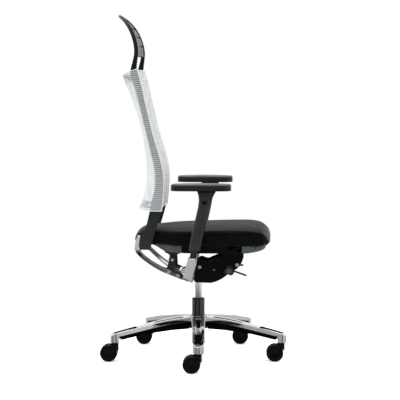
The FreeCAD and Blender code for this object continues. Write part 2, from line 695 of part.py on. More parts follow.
def headrest_bands():
    """Four bands of lined fabric across the horseshoe, bowed rearwards."""
    bands = []
    thickness, sag = 2.5, 13.0
    for low, high in BAND_LEVELS:
        sections = []
        for z in (low, high):
            half, y = frame_place(z)
            reach = half - 5.5
            points = [(x * reach, y + sag * (1 - x * x) - sag * 0.3) for x in (-1, -0.5, 0, 0.5, 1)]
            ring = [(x, a, z) for x, a in points] + [(x, a + thickness, z) for x, a in points[::-1]]
            sections.append(ring)
        bands.append(loft(sections, True))
    return group(bands)


# ---- arms --------------------------------------------------------------------------
LEAN = math.radians(ARM_LEAN)
ARM_AXIS = V(0, -math.sin(LEAN), math.cos(LEAN))
POST_FOOT = (14.0, 400.0)    # (y, z) of the post's foot
ARM_BUTTON = (-31.0, 617.0)  # (y, z) of the release button's middle
PAD_PIVOT_Y = -38.0
SLEEVE_LEVELS_ARM = [  # height, front edge and rear edge
    (440, -16.5, 28), (479, -24, 21.5), (512, -31.5, 13.5), (545, -38.8, 5.3), (578, -45.5, -2.5),
    (608, -51.6, -8.8), (628, -58, -10.5), (643, -65.5, -8.5), (655, -72, -5)]


def leaning_bar(size_x, size_y, low, high, shift=0.0):
    """A bar of the right arm along its leaning axis, between two distances from the post's foot."""
    across = V(1, 0, 0).cross(ARM_AXIS)
    corners = []
    for a, b in ((-1, -1), (1, -1), (1, 1), (-1, 1)):
        corner = V(-ARM_X, POST_FOOT[0], POST_FOOT[1]).add(V(a * size_x / 2, 0, 0))
        corners.append(corner.add(across * (b * size_y / 2 + shift)).add(ARM_AXIS * low))
    return Part.Face(polygon([tuple(corner) for corner in corners])).extrude(ARM_AXIS * (high - low))


def arm_bracket():
    """The polished cranked bracket from the carrier's crosspiece out to the post."""
    limb = swept_bar([(-52, 56, 324), (-80, 50, 324), (-130, 38, 326), (-190, 29, 329), (-236, 27, 336)],
                     [30, 28, 27, 30, 34], [26, 24, 22, 22, 26], (0, 1, 0))
    knee = side_plate([(13, 322), (46, 338), (41, 368), (29, 412), (2, 412), (-2, 392), (7, 352)],
                      -ARM_X - 11, -ARM_X + 28)
    tongue = leaning_bar(16, 6, 2, 34, 14.6)
    return limb.fuse([knee, tongue]).cut(leaning_bar(14.4, 24.4, -6, 60))


def arm_post():
    return leaning_bar(14, 24, -5.5, 205)


def arm_sleeve():
    """The moulded sleeve that slides on the post and flares out under the pad."""
    sections = []
    for z, front, rear in SLEEVE_LEVELS_ARM:
        half_x = ARM_SLEEVE_HALF_X + (4 if z > 640 else 0)
        middle, reach = (front + rear) / 2, (rear - front) / 2
        ring = []
        for step in range(16):
            a = 2 * math.pi * step / 16
            c, s = math.cos(a), math.sin(a)
            ring.append(V(-ARM_X + half_x * math.copysign(abs(c) ** 0.6, c),
                          middle + reach * math.copysign(abs(s) ** 0.6, s), z))
        curve = Part.BSplineCurve()
        curve.interpolate(ring, True)
        sections.append(Part.Wire(curve.toShape()))
    sleeve = Part.makeLoft(sections, True, False)
    sleeve = sleeve.cut(leaning_bar(14 + 2 * SLIDING, 24 + 2 * SLIDING, 0, 212))
    y, z = ARM_BUTTON
    pocket = cylinder(7.3, (-290, y - 3, z), (-ARM_X - 11, y - 3, z))
    pocket = pocket.fuse(cylinder(7.3, (-290, y + 3, z), (-ARM_X - 11, y + 3, z)))
    socket = cylinder(6 + RUNNING, (-ARM_X, PAD_PIVOT_Y, 637), (-ARM_X, PAD_PIVOT_Y, 660))
    return sleeve.cut(group([pocket, socket]))


def arm_button():
    """The oval release button in the sleeve's outer face."""
    y, z = ARM_BUTTON
    inner, outer = -ARM_X - 13.6, -ARM_X - 18.5
    return cylinder(6.9, (inner, y - 3, z), (outer, y - 3, z)).fuse(
        cylinder(6.9, (inner, y + 3, z), (outer, y + 3, z))).removeSplitter()


def pad_plan(inset, z_from, z_to):
    """The arm pad's rounded plan."""
    front, rear = -129.0 + inset, -129.0 + PAD_LENGTH - inset
    half = PAD_HALF_WIDTH - inset
    points = [(0, front), (-half * 0.72, front + 9), (-half, front + 42), (-half, rear - 42),
              (-half * 0.72, rear - 9), (0, rear), (half * 0.72, rear - 9), (half, rear - 42),
              (half, front + 42), (half * 0.72, front + 9)]
    return round_plan_prism([(x - ARM_X, y) for x, y in points], z_from, z_to)


def arm_pad():
    """A soft pad on its carrier plate, which has a round pivot under it."""
    pivot = cylinder(6, (-ARM_X, PAD_PIVOT_Y, 640), (-ARM_X, PAD_PIVOT_Y, 656))
    plate = pad_plan(7, 655.4, 661).fuse(pivot)
    cushion = pad_plan(0, 661, 687)
    return group([plate, cushion])


# ---- seat --------------------------------------------------------------------------
def seat_plan(scale, z_from, z_to):
    """The seat's plan: broad in front, and narrow enough behind to pass between the uprights."""
    half = [(0, SEAT_FRONT_Y), (120, -277), (195, -268), (229, -248), (SEAT_HALF_WIDTH, -205),
            (SEAT_HALF_WIDTH, -90), (SEAT_HALF_WIDTH - 2, 20), (222, 80), (190, 119), (164, 143), (150, 182),
            (134, 218), (92, 238)]
    points = half + [(0, SEAT_REAR_Y)] + [(-x, y) for x, y in half[:0:-1]]
    return round_plan_prism([(x * scale, (y + 18) * scale - 18) for x, y in points], z_from, z_to)


def seat_cushion():
    profile = [[(246, CUSHION_BOTTOM), (-281, CUSHION_BOTTOM)],
               [(-281, CUSHION_BOTTOM), (-276, 478), (-262, 503), (-237, 520), (-200, 527), (-150, 528)],
               [(-150, 528), (-57, 525), (138, 519)], [(138, 519), (200, 512), (234, 488), (246, CUSHION_BOTTOM)]]
    return side_prism(profile, -260, 260).common(seat_plan(1.0, 430, 560))


PAN_SCALE = 0.93
PAN_WALL = 4.0
PAN_BREAKS = (-168.0, 55.0)
SLIDE_BUTTON = (-139.0, 443.0)   # (y, z) of the seat-depth button's middle


def pan_body(wall):
    """The pan's outer form, or its hollow when a wall thickness is given."""
    low = PAN_BOTTOM + wall
    top = CUSHION_BOTTOM - 0.2
    profile = [[(240, top), (-280, top)],
               [(-280, top), (-262, low + 17), (-215, low + 5), (-190, low + 1.3), (-168, low)],
               [(-168, low), (90, low)],
               [(90, low), (115, low + 1.8), (135, low + 8), (154, low + 19), (175, low + 24.5), (240, top)]]
    scale = PAN_SCALE - wall / 250.0
    return side_prism(profile, -260, 260).common(seat_plan(scale, 410, CUSHION_BOTTOM - 0.2))


def pan_slice(y_from, y_to):
    shell = pan_body(0).cut(moved(pan_body(PAN_WALL), 0, 0, 0.1))
    return shell.common(block((-260, y_from, 400), (260, y_to, 470)))


def seat_pan():
    """The black middle of the seat's underside, with the button's recess in its right edge."""
    pan = pan_slice(PAN_BREAKS[0], PAN_BREAKS[1])
    y, z = SLIDE_BUTTON
    return pan.cut(block((-235, y - 28, z - 6.5), (-195, y + 28, z + 6.5)))


def pan_shells():
    """The lighter front and rear shells of the seat's underside."""
    front = pan_slice(-290, PAN_BREAKS[0] - 0.3)
    rear = pan_slice(PAN_BREAKS[1] + 0.3, 250)
    return group([front, rear])


def seat_slide_button():
    y, z = SLIDE_BUTTON
    button = block((-220.5, y - 27.4, z - 5.9), (-200, y + 27.4, z + 5.9))
    grooves = [block((-222, y - 22 + 9 * index, z - 4), (-219.5, y - 19 + 9 * index, z + 4)) for index in range(5)]
    return button.cut(group(grooves))


def seat_support():
    """The plate under the pan, with lugs down to the front axle and to the hanger pins."""
    plate = block((-100, -165, 418.5), (100, 128, PAN_BOTTOM - 0.5))
    for x in (-62, 0, 62):
        plate = plate.cut(block((x - 20, -90, 410), (x + 20, 40, 430)))
    y, z = SEAT_PIVOT
    front = side_prism([[(y + 30, 420), (y - 14, 420)], [(y - 14, 420), (y - 12, z)],
                        [(y - 12, z), (y, z - 12), (y + 12, z)], [(y + 12, z), (y + 30, 420)]], 36, 46)
    front = front.cut(cylinder(6 + RUNNING, (0, y, z), (80, y, z)))
    y, z = HANGER_PIVOT
    rear = side_prism([[(123, 419), (64, 419)], [(64, 419), (65, 412), (82, 408)],
                       [(82, 408), (y - 11, z)], [(y - 11, z), (y + 2, z - 12), (y + 15, z)],
                       [(y + 15, z), (y + 12, z + 18), (123, 412)], [(123, 412), (123, 419)]], 80, 91)
    slot = cylinder(5.5, (70, y - 0.3, z), (100, y - 0.3, z)).fuse(cylinder(5.5, (70, y + 5.4, z), (100, y + 5.4, z)))
    slot = slot.fuse(block((70, y - 0.3, z - 5.5), (100, y + 5.4, z + 5.5)))
    lugs = front.fuse(rear.cut(slot))
    return plate.fuse([lugs, mirrored(lugs)])


# ---- nodes -------------------------------------------------------------------------
UPRIGHTS = ["upright_right", "upright_left"]
LET_IN = [  # a piece, and the neighbours screwed or pressed to it that it is cut back for
    ("back_carrier", UPRIGHTS + ["carrier_bolts"]),
    ("hanger_brackets", ["back_carrier", "carrier_bolts"]),
    ("arm_bracket_right", ["back_carrier", "hanger_brackets"]),
    ("arm_bracket_left", ["back_carrier", "hanger_brackets"]),
    ("back_top_bow", UPRIGHTS),
    ("back_bottom_bow", UPRIGHTS),
    ("leg_liners", ["base_star"])]


def without_chips(shape):
    """The shape less any loose solid under 1 mm3 that a cut has left."""
    return group([solid for solid in shape.Solids if solid.Volume > 1.0])


def nodes():
    """Every node's name and shape."""
    table = {
        "base_star": base_star(), "leg_liners": leg_liners(), "foot_pads": foot_pads(),
        "stem_sockets": stem_sockets(), "stand_tube": stand_tube(), "guide_bush": guide_bush(),
        "thrust_bearing": thrust_bearing(), "piston_rod": piston_rod(), "retaining_clip": retaining_clip(),
        "gas_cylinder": gas_cylinder(), "release_pin": release_pin(), "mech_housing": mech_housing(),
        "mech_covers": mech_covers(), "mech_axles": mech_axles(), "tilt_spring": tilt_spring(),
        "height_lever": height_lever(), "tension_knob": tension_knob(), "lock_lever": lock_lever(),
        "back_carrier": back_carrier(), "carrier_bolts": carrier_bolts(), "hanger_brackets": hanger_brackets(),
        "back_top_bow": back_top_bow(), "back_bottom_bow": back_bottom_bow(),
        "back_panel_front": back_panel_front(), "back_panel_rear": back_panel_rear(),
        "headrest_frame": headrest_frame(), "headrest_bands": headrest_bands(),
        "seat_support": seat_support(), "seat_pan": seat_pan(), "pan_shells": pan_shells(),
        "seat_cushion": seat_cushion(), "seat_slide_button": seat_slide_button(),
    }
    for index in range(LEGS):
        number = index + 1
        table["castor_hood_%d" % number] = at_castor(castor_hood(), index)
        table["castor_pins_%d" % number] = at_castor(castor_pins(), index)
        table["castor_wheels_%d" % number] = at_castor(castor_wheels(), index)
    right_arm = {"arm_bracket": arm_bracket(), "arm_post": arm_post(), "arm_sleeve": arm_sleeve(),
                 "arm_button": arm_button(), "arm_pad": arm_pad(), "upright": mirrored(upright())}
    for name, shape in right_arm.items():
        table[name + "_right"] = shape
        table[name + "_left"] = mirrored(shape)
    for name, neighbours in LET_IN:
        for neighbour in neighbours:
            table[name] = without_chips(table[name].cut(table[neighbour]))
    return table


os.makedirs("parts", exist_ok=True)
for node, shape in sorted(nodes().items()):
    if not shape.isValid():
        raise ValueError("%s is not a valid shape" % node)
    shape.exportStep("parts/%s.step" % node)
    print("%-20s %2d solids %9.0f mm3" % (node, len(shape.Solids), shape.Volume))
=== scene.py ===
import json
import math

import bmesh
import bpy
import numpy as np
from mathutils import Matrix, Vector
from mathutils.bvhtree import BVHTree


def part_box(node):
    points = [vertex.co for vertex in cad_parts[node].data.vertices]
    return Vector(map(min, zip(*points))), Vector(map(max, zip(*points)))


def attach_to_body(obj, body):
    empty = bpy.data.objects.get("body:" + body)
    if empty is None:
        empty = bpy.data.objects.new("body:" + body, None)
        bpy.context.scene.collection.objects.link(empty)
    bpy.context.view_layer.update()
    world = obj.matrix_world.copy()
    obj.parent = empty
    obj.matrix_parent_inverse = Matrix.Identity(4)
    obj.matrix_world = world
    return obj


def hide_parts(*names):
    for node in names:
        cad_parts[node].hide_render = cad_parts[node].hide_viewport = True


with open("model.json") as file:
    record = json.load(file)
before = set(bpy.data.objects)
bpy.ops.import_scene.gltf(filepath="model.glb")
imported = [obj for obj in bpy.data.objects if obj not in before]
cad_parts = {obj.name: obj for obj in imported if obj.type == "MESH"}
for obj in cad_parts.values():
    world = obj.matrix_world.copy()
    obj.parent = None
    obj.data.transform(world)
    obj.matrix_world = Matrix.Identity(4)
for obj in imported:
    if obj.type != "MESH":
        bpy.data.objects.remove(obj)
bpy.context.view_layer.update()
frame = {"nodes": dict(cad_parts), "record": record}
cad = frame["nodes"]
record = frame["record"]
slotOf = {part["node"]: part["material_slot"] for part in record["subparts"]}
bodyOf = {node: body for body, nodes in record["behaviour"]["bodies"].items() for node in nodes}
mm = 0.001


# camera, lights and floor

camera = dict(distance=5.34, height=1.02, turn=2.0, tilt=4.43, pan=0.066, lens=125.3)
studio = dict(overhead=1.5, below=0.10, floorLight=62.0, lampSize=4.5, lampPlace=(0.6, 0.0, 4.2),
              floorColour="#ffffff", floorGlow=0.42, floorRadius=1.9)
# degrees round from the camera's side, and how bright the room is there
aroundStudio = [(-180, 1.0), (-70, 1.1), (-31, 1.15), (-25, 0.03), (-13, 0.03), (-8, 0.72), (14, 0.84), (40, 0.70),
                (46, 0.05), (60, 0.05), (66, 1.0), (84, 0.9), (180, 1.0)]


def linear(code):  # sRGB hex to linear light
    c = np.array([int(code[i:i + 2], 16) for i in (1, 3, 5)]) / 255
    return tuple(np.where(c <= 0.04045, c / 12.92, ((c + 0.055) / 1.055) ** 2.4)) + (1.0,)


def addNode(tree, kind, values=None, links=None, **settings):
    node = tree.nodes.new(kind)
    for key, value in settings.items():
        setattr(node, key, value)
    for key, value in (values or {}).items():
        node.inputs[key].default_value = value
    for key, socket in (links or {}).items():
        tree.links.new(socket, node.inputs[key])
    return node


def placeCamera():
    turn, tilt, pan = (math.radians(camera[key]) for key in ("turn", "tilt", "pan"))
    data = bpy.data.cameras.new("camera")
    data.lens, data.sensor_width = camera["lens"], 36.0
    data.clip_start, data.clip_end = 0.05, 100.0
    obj = bpy.data.objects.new("camera", data)
    bpy.context.scene.collection.objects.link(obj)
    obj.location = (-camera["distance"] * math.cos(turn), -camera["distance"] * math.sin(turn), camera["height"])
    ahead = Vector((math.cos(turn - pan) * math.cos(tilt), math.sin(turn - pan) * math.cos(tilt), -math.sin(tilt)))
    obj.rotation_euler = ahead.to_track_quat("-Z", "Y").to_euler()
    bpy.context.scene.camera = obj


def lightStudio():
    # paper screens and dark gaps stand round the object: brightness = the table at the angle atan2(y, -x),
    # times a fall below the horizon, or the overhead panel where z is high
    world = bpy.data.worlds.new("studio")
    bpy.context.scene.world = world
    world.use_nodes = True
    tree = world.node_tree
    tree.nodes.clear()
    direction = addNode(tree, "ShaderNodeTexCoord")
    parts = addNode(tree, "ShaderNodeSeparateXYZ", links={0: direction.outputs["Generated"]})
    ahead = addNode(tree, "ShaderNodeMath", {1: -1.0}, {0: parts.outputs["X"]}, operation="MULTIPLY")
    angle = addNode(tree, "ShaderNodeMath", links={0: parts.outputs["Y"], 1: ahead.outputs[0]}, operation="ARCTAN2")
    turn = addNode(tree, "ShaderNodeMapRange", {1: -math.pi, 2: math.pi}, {0: angle.outputs[0]})
    screens = addNode(tree, "ShaderNodeValToRGB", links={"Fac": turn.outputs[0]})
    ramp = screens.color_ramp.elements
    while len(ramp) < len(aroundStudio):
        ramp.new(0.5)
    for stop, (degrees, bright) in zip(ramp, aroundStudio):
        stop.position, stop.color = degrees / 360 + 0.5, (bright / 2, bright / 2, bright / 2, 1)
    fall = addNode(tree, "ShaderNodeMapRange", {1: -0.35, 2: -0.02, 3: 2 * studio["below"], 4: 2.0},
                   {0: parts.outputs["Z"]}, interpolation_type="SMOOTHSTEP")
    around = addNode(tree, "ShaderNodeMath", links={0: screens.outputs["Color"], 1: fall.outputs[0]},
                     operation="MULTIPLY")
    above = addNode(tree, "ShaderNodeMapRange", {1: 0.42, 2: 0.66, 3: 0.0, 4: studio["overhead"]},
                    {0: parts.outputs["Z"]}, interpolation_type="SMOOTHSTEP")
    both = addNode(tree, "ShaderNodeMath", links={0: around.outputs[0], 1: above.outputs[0]}, operation="MAXIMUM")
    light = addNode(tree, "ShaderNodeBackground", {"Color": (1, 1, 1, 1)}, {"Strength": both.outputs[0]})
    paper = addNode(tree, "ShaderNodeBackground", {"Color": (1, 1, 1, 1), "Strength": 1.0})
    seen = addNode(tree, "ShaderNodeLightPath")
    mix = addNode(tree, "ShaderNodeMixShader",
                  links={0: seen.outputs["Is Camera Ray"], 1: light.outputs[0], 2: paper.outputs[0]})
    addNode(tree, "ShaderNodeOutputWorld", links={"Surface": mix.outputs[0]})
    lamp = bpy.data.lights.new("overhead panel", "AREA")
    lamp.shape, lamp.size, lamp.energy = "DISK", studio["lampSize"], studio["floorLight"]
    obj = bpy.data.objects.new("overhead panel", lamp)
    bpy.context.scene.collection.objects.link(obj)
    obj.location = studio["lampPlace"]
    bpy.context.scene.view_settings.view_transform = "Standard"


def layFloor():
    a = np.linspace(0, 2 * np.pi, 97)[:-1]  # a round sheet of paper: its white meets the white beyond it
    points = np.column_stack([np.cos(a), np.sin(a), 0 * a]) * studio["floorRadius"]
    mesh = bpy.data.meshes.new("floor")
    mesh.from_pydata(points, [], [list(range(96))])
    floor = bpy.data.objects.new("floor", mesh)
    bpy.context.scene.collection.objects.link(floor)
    paper = bpy.data.materials.new("floorPaper")  # matt white paper
    paper.use_nodes = True
    shader = paper.node_tree.nodes["Principled BSDF"]
    shader.inputs["Base Color"].default_value = linear(studio["floorColour"])
    shader.inputs["Emission Color"].default_value = (1, 1, 1, 1)
    shader.inputs["Emission Strength"].default_value = studio["floorGlow"]
    shader.inputs["Roughness"].default_value = 0.9
    shader.inputs["Specular IOR Level"].default_value = 0.1
    mesh.materials.append(paper)
    floor.visible_glossy = False


placeCamera()
lightStudio()
layFloor()
print("camera, light and floor set")


# finishes

def newFinish(name, colour, **sockets):
    finish = bpy.data.materials.new(name)
    finish.use_nodes = True
    shader = finish.node_tree.nodes["Principled BSDF"]
    shader.inputs["Base Color"].default_value = linear(colour)
    for key, value in sockets.items():
        shader.inputs[key.replace("_", " ")].default_value = value
    return finish, finish.node_tree, shader


def addRelief(tree, shader, height, *reliefs):
    # each relief is (value socket, depth in metres); they are stacked one bump over the other
    normal = None
    for value, depth in reliefs:
        links = {"Height": value}
        if normal:
            links["Normal"] = normal
        bump = addNode(tree, "ShaderNodeBump", {"Strength": height, "Distance": depth}, links)
        normal = bump.outputs["Normal"]
    tree.links.new(normal, shader.inputs["Normal"])


def spreadRoughness(tree, shader, place, low, high, size):  # slow changes of gloss, as handling and dust leave
    cloud = addNode(tree, "ShaderNodeTexNoise", {"Scale": 1 / size, "Detail": 3.0}, {"Vector": place})
    rough = addNode(tree, "ShaderNodeMapRange", {1: 0.35, 2: 0.68, 3: low, 4: high}, {0: cloud.outputs["Fac"]})
    tree.links.new(rough.outputs[0], shader.inputs["Roughness"])
    return cloud


def spreadColour(tree, shader, value, dark, light, low=0.3, high=0.7):
    ramp = addNode(tree, "ShaderNodeValToRGB", links={"Fac": value})
    ramp.color_ramp.elements[0].position, ramp.color_ramp.elements[0].color = low, linear(dark)
    ramp.color_ramp.elements[1].position, ramp.color_ramp.elements[1].color = high, linear(light)
    tree.links.new(ramp.outputs["Color"], shader.inputs["Base Color"])


def polishedAluminium():  # die casting, ground and buffed: bright, with faint buffing lines along each limb
    finish, tree, shader = newFinish("polishedAluminium", "#d6d8da", Metallic=1.0)
    place = addNode(tree, "ShaderNodeTexCoord").outputs["Object"]
    spreadRoughness(tree, shader, place, 0.05, 0.10, 0.05)
    fine = addNode(tree, "ShaderNodeTexNoise", {"Scale": 1 / 0.0012, "Detail": 2.0}, {"Vector": place})
    wave = addNode(tree, "ShaderNodeTexNoise", {"Scale": 1 / 0.035, "Detail": 1.0}, {"Vector": place})
    addRelief(tree, shader, 0.4, (fine.outputs["Fac"], 0.00001), (wave.outputs["Fac"], 0.0002))
    return finish


def chromePlate():  # hard chrome on ground steel: a mirror with a cool tint
    finish, tree, shader = newFinish("chromePlate", "#eef0f2", Metallic=1.0)
    place = addNode(tree, "ShaderNodeTexCoord").outputs["Object"]
    spreadRoughness(tree, shader, place, 0.03, 0.07, 0.03)
    return finish


def brightSteel():  # zinc-plated fasteners: bright grey, a little cloudy
    finish, tree, shader = newFinish("brightSteel", "#c4c6c8", Metallic=1.0)
    place = addNode(tree, "ShaderNodeTexCoord").outputs["Object"]
    spreadRoughness(tree, shader, place, 0.22, 0.36, 0.004)
    return finish


def machinedSteel():  # turned steel with the cutter's rings
    finish, tree, shader = newFinish("machinedSteel", "#9a9c9f", Metallic=1.0, Roughness=0.38)
    place = addNode(tree, "ShaderNodeTexCoord").outputs["Object"]
    rings = addNode(tree, "ShaderNodeTexWave", {"Scale": 1 / 0.0015, "Distortion": 0.4}, {"Vector": place},
                    bands_direction="Z")
    addRelief(tree, shader, 0.4, (rings.outputs["Fac"], 0.00004))
    return finish


def glossLacquer():  # black stoved lacquer on steel tube: deep black under a clear gloss
    finish, tree, shader = newFinish("glossLacquer", "#030304", Specular_IOR_Level=0.3, Coat_Weight=0.5,
                                     Coat_Roughness=0.04)
    place = addNode(tree, "ShaderNodeTexCoord").outputs["Object"]
    spreadRoughness(tree, shader, place, 0.10, 0.18, 0.03)
    peel = addNode(tree, "ShaderNodeTexNoise", {"Scale": 1 / 0.003, "Detail": 1.0}, {"Vector": place})
    addRelief(tree, shader, 0.3, (peel.outputs["Fac"], 0.00003))  # orange peel
    return finish


def powderCoat(name, dark, light, gloss, shine=0.30):
    # polyester powder on steel: a pebbled skin, about 0.8 mm from crest to crest
    finish, tree, shader = newFinish(name, dark, Specular_IOR_Level=shine)
    place = addNode(tree, "ShaderNodeTexCoord").outputs["Object"]
    cloud = spreadRoughness(tree, shader, place, gloss, gloss + 0.12, 0.04)
    spreadColour(tree, shader, cloud.outputs["Fac"], dark, light)
    pebbles = addNode(tree, "ShaderNodeTexVoronoi", {"Scale": 1 / 0.0008}, {"Vector": place},
                      feature="SMOOTH_F1")
    addRelief(tree, shader, 0.35, (pebbles.outputs["Distance"], 0.00006))
    return finish


def mouldedNylon(name, dark, light, gloss, grain=0.0009, shine=0.22):
    # glass-filled nylon from a spark-eroded mould: matt pits, `grain` metres apart
    finish, tree, shader = newFinish(name, dark, Specular_IOR_Level=shine)
    place = addNode(tree, "ShaderNodeTexCoord").outputs["Object"]
    cloud = spreadRoughness(tree, shader, place, gloss, gloss + 0.14, 0.06)
    spreadColour(tree, shader, cloud.outputs["Fac"], dark, light)
    pits = addNode(tree, "ShaderNodeTexNoise", {"Scale": 1 / grain, "Detail": 4.0, "Roughness": 0.65},
                   {"Vector": place})
    addRelief(tree, shader, 0.45, (pits.outputs["Fac"], 0.00008))
    return finish


def padSkin():  # integral-skin polyurethane: soft, near black, with a leather-like grain about 1.6 mm across
    finish, tree, shader = newFinish("padSkin", "#0e0f10", Specular_IOR_Level=0.36, Sheen_Weight=0.05,
                                     Sheen_Roughness=0.3)
    place = addNode(tree, "ShaderNodeTexCoord").outputs["Object"]
    cloud = spreadRoughness(tree, shader, place, 0.30, 0.42, 0.05)
    spreadColour(tree, shader, cloud.outputs["Fac"], "#0b0c0d", "#111314")
    cells = addNode(tree, "ShaderNodeTexVoronoi", {"Scale": 1 / 0.0016, "Randomness": 0.9}, {"Vector": place},
                    feature="DISTANCE_TO_EDGE")
    crease = addNode(tree, "ShaderNodeMapRange", {1: 0.0, 2: 0.12, 3: 0.0, 4: 1.0}, {0: cells.outputs["Distance"]})
    addRelief(tree, shader, 0.5, (crease.outputs[0], 0.00012))
    return finish


def castorRubber():  # soft polyurethane tread
    return mouldedNylon("castorRubber", "#060607", "#0c0d0e", 0.42, 0.0014, 0.14)


def upholsteryWool():  # close plain weave of 1.4 mm yarns, black with a grey fibre haze
    finish, tree, shader = newFinish("upholsteryWool", "#0e0f10", Roughness=0.88, Sheen_Weight=0.26,
                                     Sheen_Roughness=0.26, Specular_IOR_Level=0.05)
    place = addNode(tree, "ShaderNodeTexCoord").outputs["Object"]
    warp = addNode(tree, "ShaderNodeTexWave", {"Scale": 1 / 0.0088, "Distortion": 0.6, "Detail": 1.0},
                   {"Vector": place}, bands_direction="X")
    weft = addNode(tree, "ShaderNodeTexWave", {"Scale": 1 / 0.0088, "Distortion": 0.6, "Detail": 1.0},
                   {"Vector": place}, bands_direction="Y")
    weave = addNode(tree, "ShaderNodeMath", links={0: warp.outputs["Fac"], 1: weft.outputs["Fac"]},
                    operation="MULTIPLY")
    fibres = addNode(tree, "ShaderNodeTexNoise", {"Scale": 1 / 0.0011, "Detail": 4.0, "Roughness": 0.7},
                     {"Vector": place})
    mixed = addNode(tree, "ShaderNodeMath", links={0: weave.outputs[0], 1: fibres.outputs["Fac"]},
                    operation="ADD")
    spreadColour(tree, shader, mixed.outputs[0], "#030304", "#0d0f10", 0.25, 1.0)
    addRelief(tree, shader, 0.6, (weave.outputs[0], 0.00025), (fibres.outputs["Fac"], 0.00012))
    return finish


def openKnit(name, dark, light, hole, pitch=0.0042, course=0.0):
    # raschel knit: staggered eyelets, drawn 4 mm apart so that they show; the yarn round each eyelet stands proud,
    # and a stiffer yarn is laid in across the sheet at every course
    finish, tree, shader = newFinish(name, light, Roughness=0.75, Sheen_Weight=0.25, Sheen_Roughness=0.5,
                                     Specular_IOR_Level=0.2)
    sheet = addNode(tree, "ShaderNodeUVMap", uv_map="weave").outputs["UV"]
    turned = addNode(tree, "ShaderNodeMapping", {"Rotation": (0, 0, math.radians(45)),
                                                 "Scale": (1 / pitch, 1 / pitch, 1.0)}, {"Vector": sheet})
    cells = addNode(tree, "ShaderNodeTexVoronoi", {"Scale": 1.0, "Randomness": 0.12},
                    {"Vector": turned.outputs[0]}, voronoi_dimensions="2D")
    yarn = addNode(tree, "ShaderNodeMapRange", {1: hole, 2: hole + 0.09, 3: 0.0, 4: 1.0},
                   {0: cells.outputs["Distance"]}, interpolation_type="SMOOTHSTEP")
    mottle = addNode(tree, "ShaderNodeTexNoise", {"Scale": 1 / 0.05, "Detail": 1.0}, {"Vector": sheet})
    tone = mottle.outputs["Fac"]
    if course:
        rows = addNode(tree, "ShaderNodeTexWave", {"Scale": 0.314 / course, "Distortion": 1.2, "Detail": 1.0,
                                                   "Detail Scale": 3.0}, {"Vector": sheet}, bands_direction="Y")
        tone = addNode(tree, "ShaderNodeMix", {0: 0.72}, {2: tone, 3: rows.outputs["Fac"]}).outputs[0]
    spreadColour(tree, shader, tone, dark, light, 0.30, 0.70)
    tree.links.new(yarn.outputs[0], shader.inputs["Alpha"])
    addRelief(tree, shader, 0.4, (cells.outputs["Distance"], 0.0003))
    return finish


def plainTape(name, dark, light):  # woven edging tape and piping cord
    finish, tree, shader = newFinish(name, light, Roughness=0.8, Sheen_Weight=0.2, Specular_IOR_Level=0.2)
    place = addNode(tree, "ShaderNodeTexCoord").outputs["Object"]
    ribs = addNode(tree, "ShaderNodeTexNoise", {"Scale": 1 / 0.0012, "Detail": 2.0}, {"Vector": place})
    spreadColour(tree, shader, ribs.outputs["Fac"], dark, light)
    addRelief(tree, shader, 0.5, (ribs.outputs["Fac"], 0.0002))
    return finish


def linedBand():  # ribbed elastic webbing: ribs 3.2 mm apart run across the headrest
    finish, tree, shader = newFinish("linedBand", "#4a4d50", Roughness=0.7, Sheen_Weight=0.3,
                                     Specular_IOR_Level=0.25)
    sheet = addNode(tree, "ShaderNodeUVMap", uv_map="weave").outputs["UV"]
    ribs = addNode(tree, "ShaderNodeTexWave", {"Scale": 1 / 0.0102, "Distortion": 0.2}, {"Vector": sheet},
                   bands_direction="Y", wave_profile="SIN")
    spreadColour(tree, shader, ribs.outputs["Fac"], "#2e3133", "#5a5e61", 0.2, 0.8)
    addRelief(tree, shader, 0.6, (ribs.outputs["Fac"], 0.0005))
    return finish


finishes = dict(
    polished_aluminium=polishedAluminium(),
    chrome=chromePlate(),
    bright_steel=brightSteel(),
    zinc_steel=machinedSteel(),
    black_enamel=powderCoat("blackPowder", "#1b1d1f", "#232628", 0.40),
    black_casting=powderCoat("castingPowder", "#020203", "#050506", 0.42, 0.10),
    black_nylon=mouldedNylon("blackNylon", "#040405", "#08090a", 0.40, 0.0009, 0.12),
    grey_nylon=mouldedNylon("greyNylon", "#3f4345", "#4b4f51", 0.45),
    black_polypropylene=mouldedNylon("blackPolypropylene", "#040405", "#080809", 0.48, 0.0009, 0.10),
    castor_tread=castorRubber(),
    white_knit=openKnit("whiteKnit", "#dadedd", "#eff1f0", 0.24, 0.0030),
    grey_band_fabric=linedBand(),
    black_wool=upholsteryWool(),
    pad_foam=padSkin(),
)
lacquer = glossLacquer()
sleeveNylon = mouldedNylon("sleeveNylon", "#1b1e1f", "#232728", 0.34, 0.0009, 0.42)
linerNylon = mouldedNylon("linerNylon", "#030304", "#060607", 0.55, 0.0009, 0.02)
headrestNylon = mouldedNylon("headrestNylon", "#040405", "#08090a", 0.28, 0.0009, 0.22)
leverNylon = mouldedNylon("leverNylon", "#0b0c0d", "#121314", 0.30, 0.0009, 0.55)
uprightCoat = powderCoat("uprightPowder", "#1e2122", "#262a2b", 0.42, 0.22)
stripKnit = openKnit("stripKnit", "#8b9296", "#d3d9db", 0.26, 0.0034, 0.0078)
bandKnit = openKnit("bandKnit", "#b4babd", "#d0d5d7", 0.26, 0.0034)
hemTape = plainTape("hemTape", "#c6cbcd", "#f2f4f4")
print("finishes:", len(bpy.data.materials))


# surfaces: every new piece is one or more grids of points, rows by columns by 3, worked out as whole arrays

def gridQuads(rows, cols):  # the corner numbers of all cells
    i, j = np.arange(rows - 1)[:, None] * cols, np.arange(cols - 1)[None, :]
    return np.stack([i + j, i + j + 1, i + cols + j + 1, i + cols + j], -1).reshape(-1, 4)


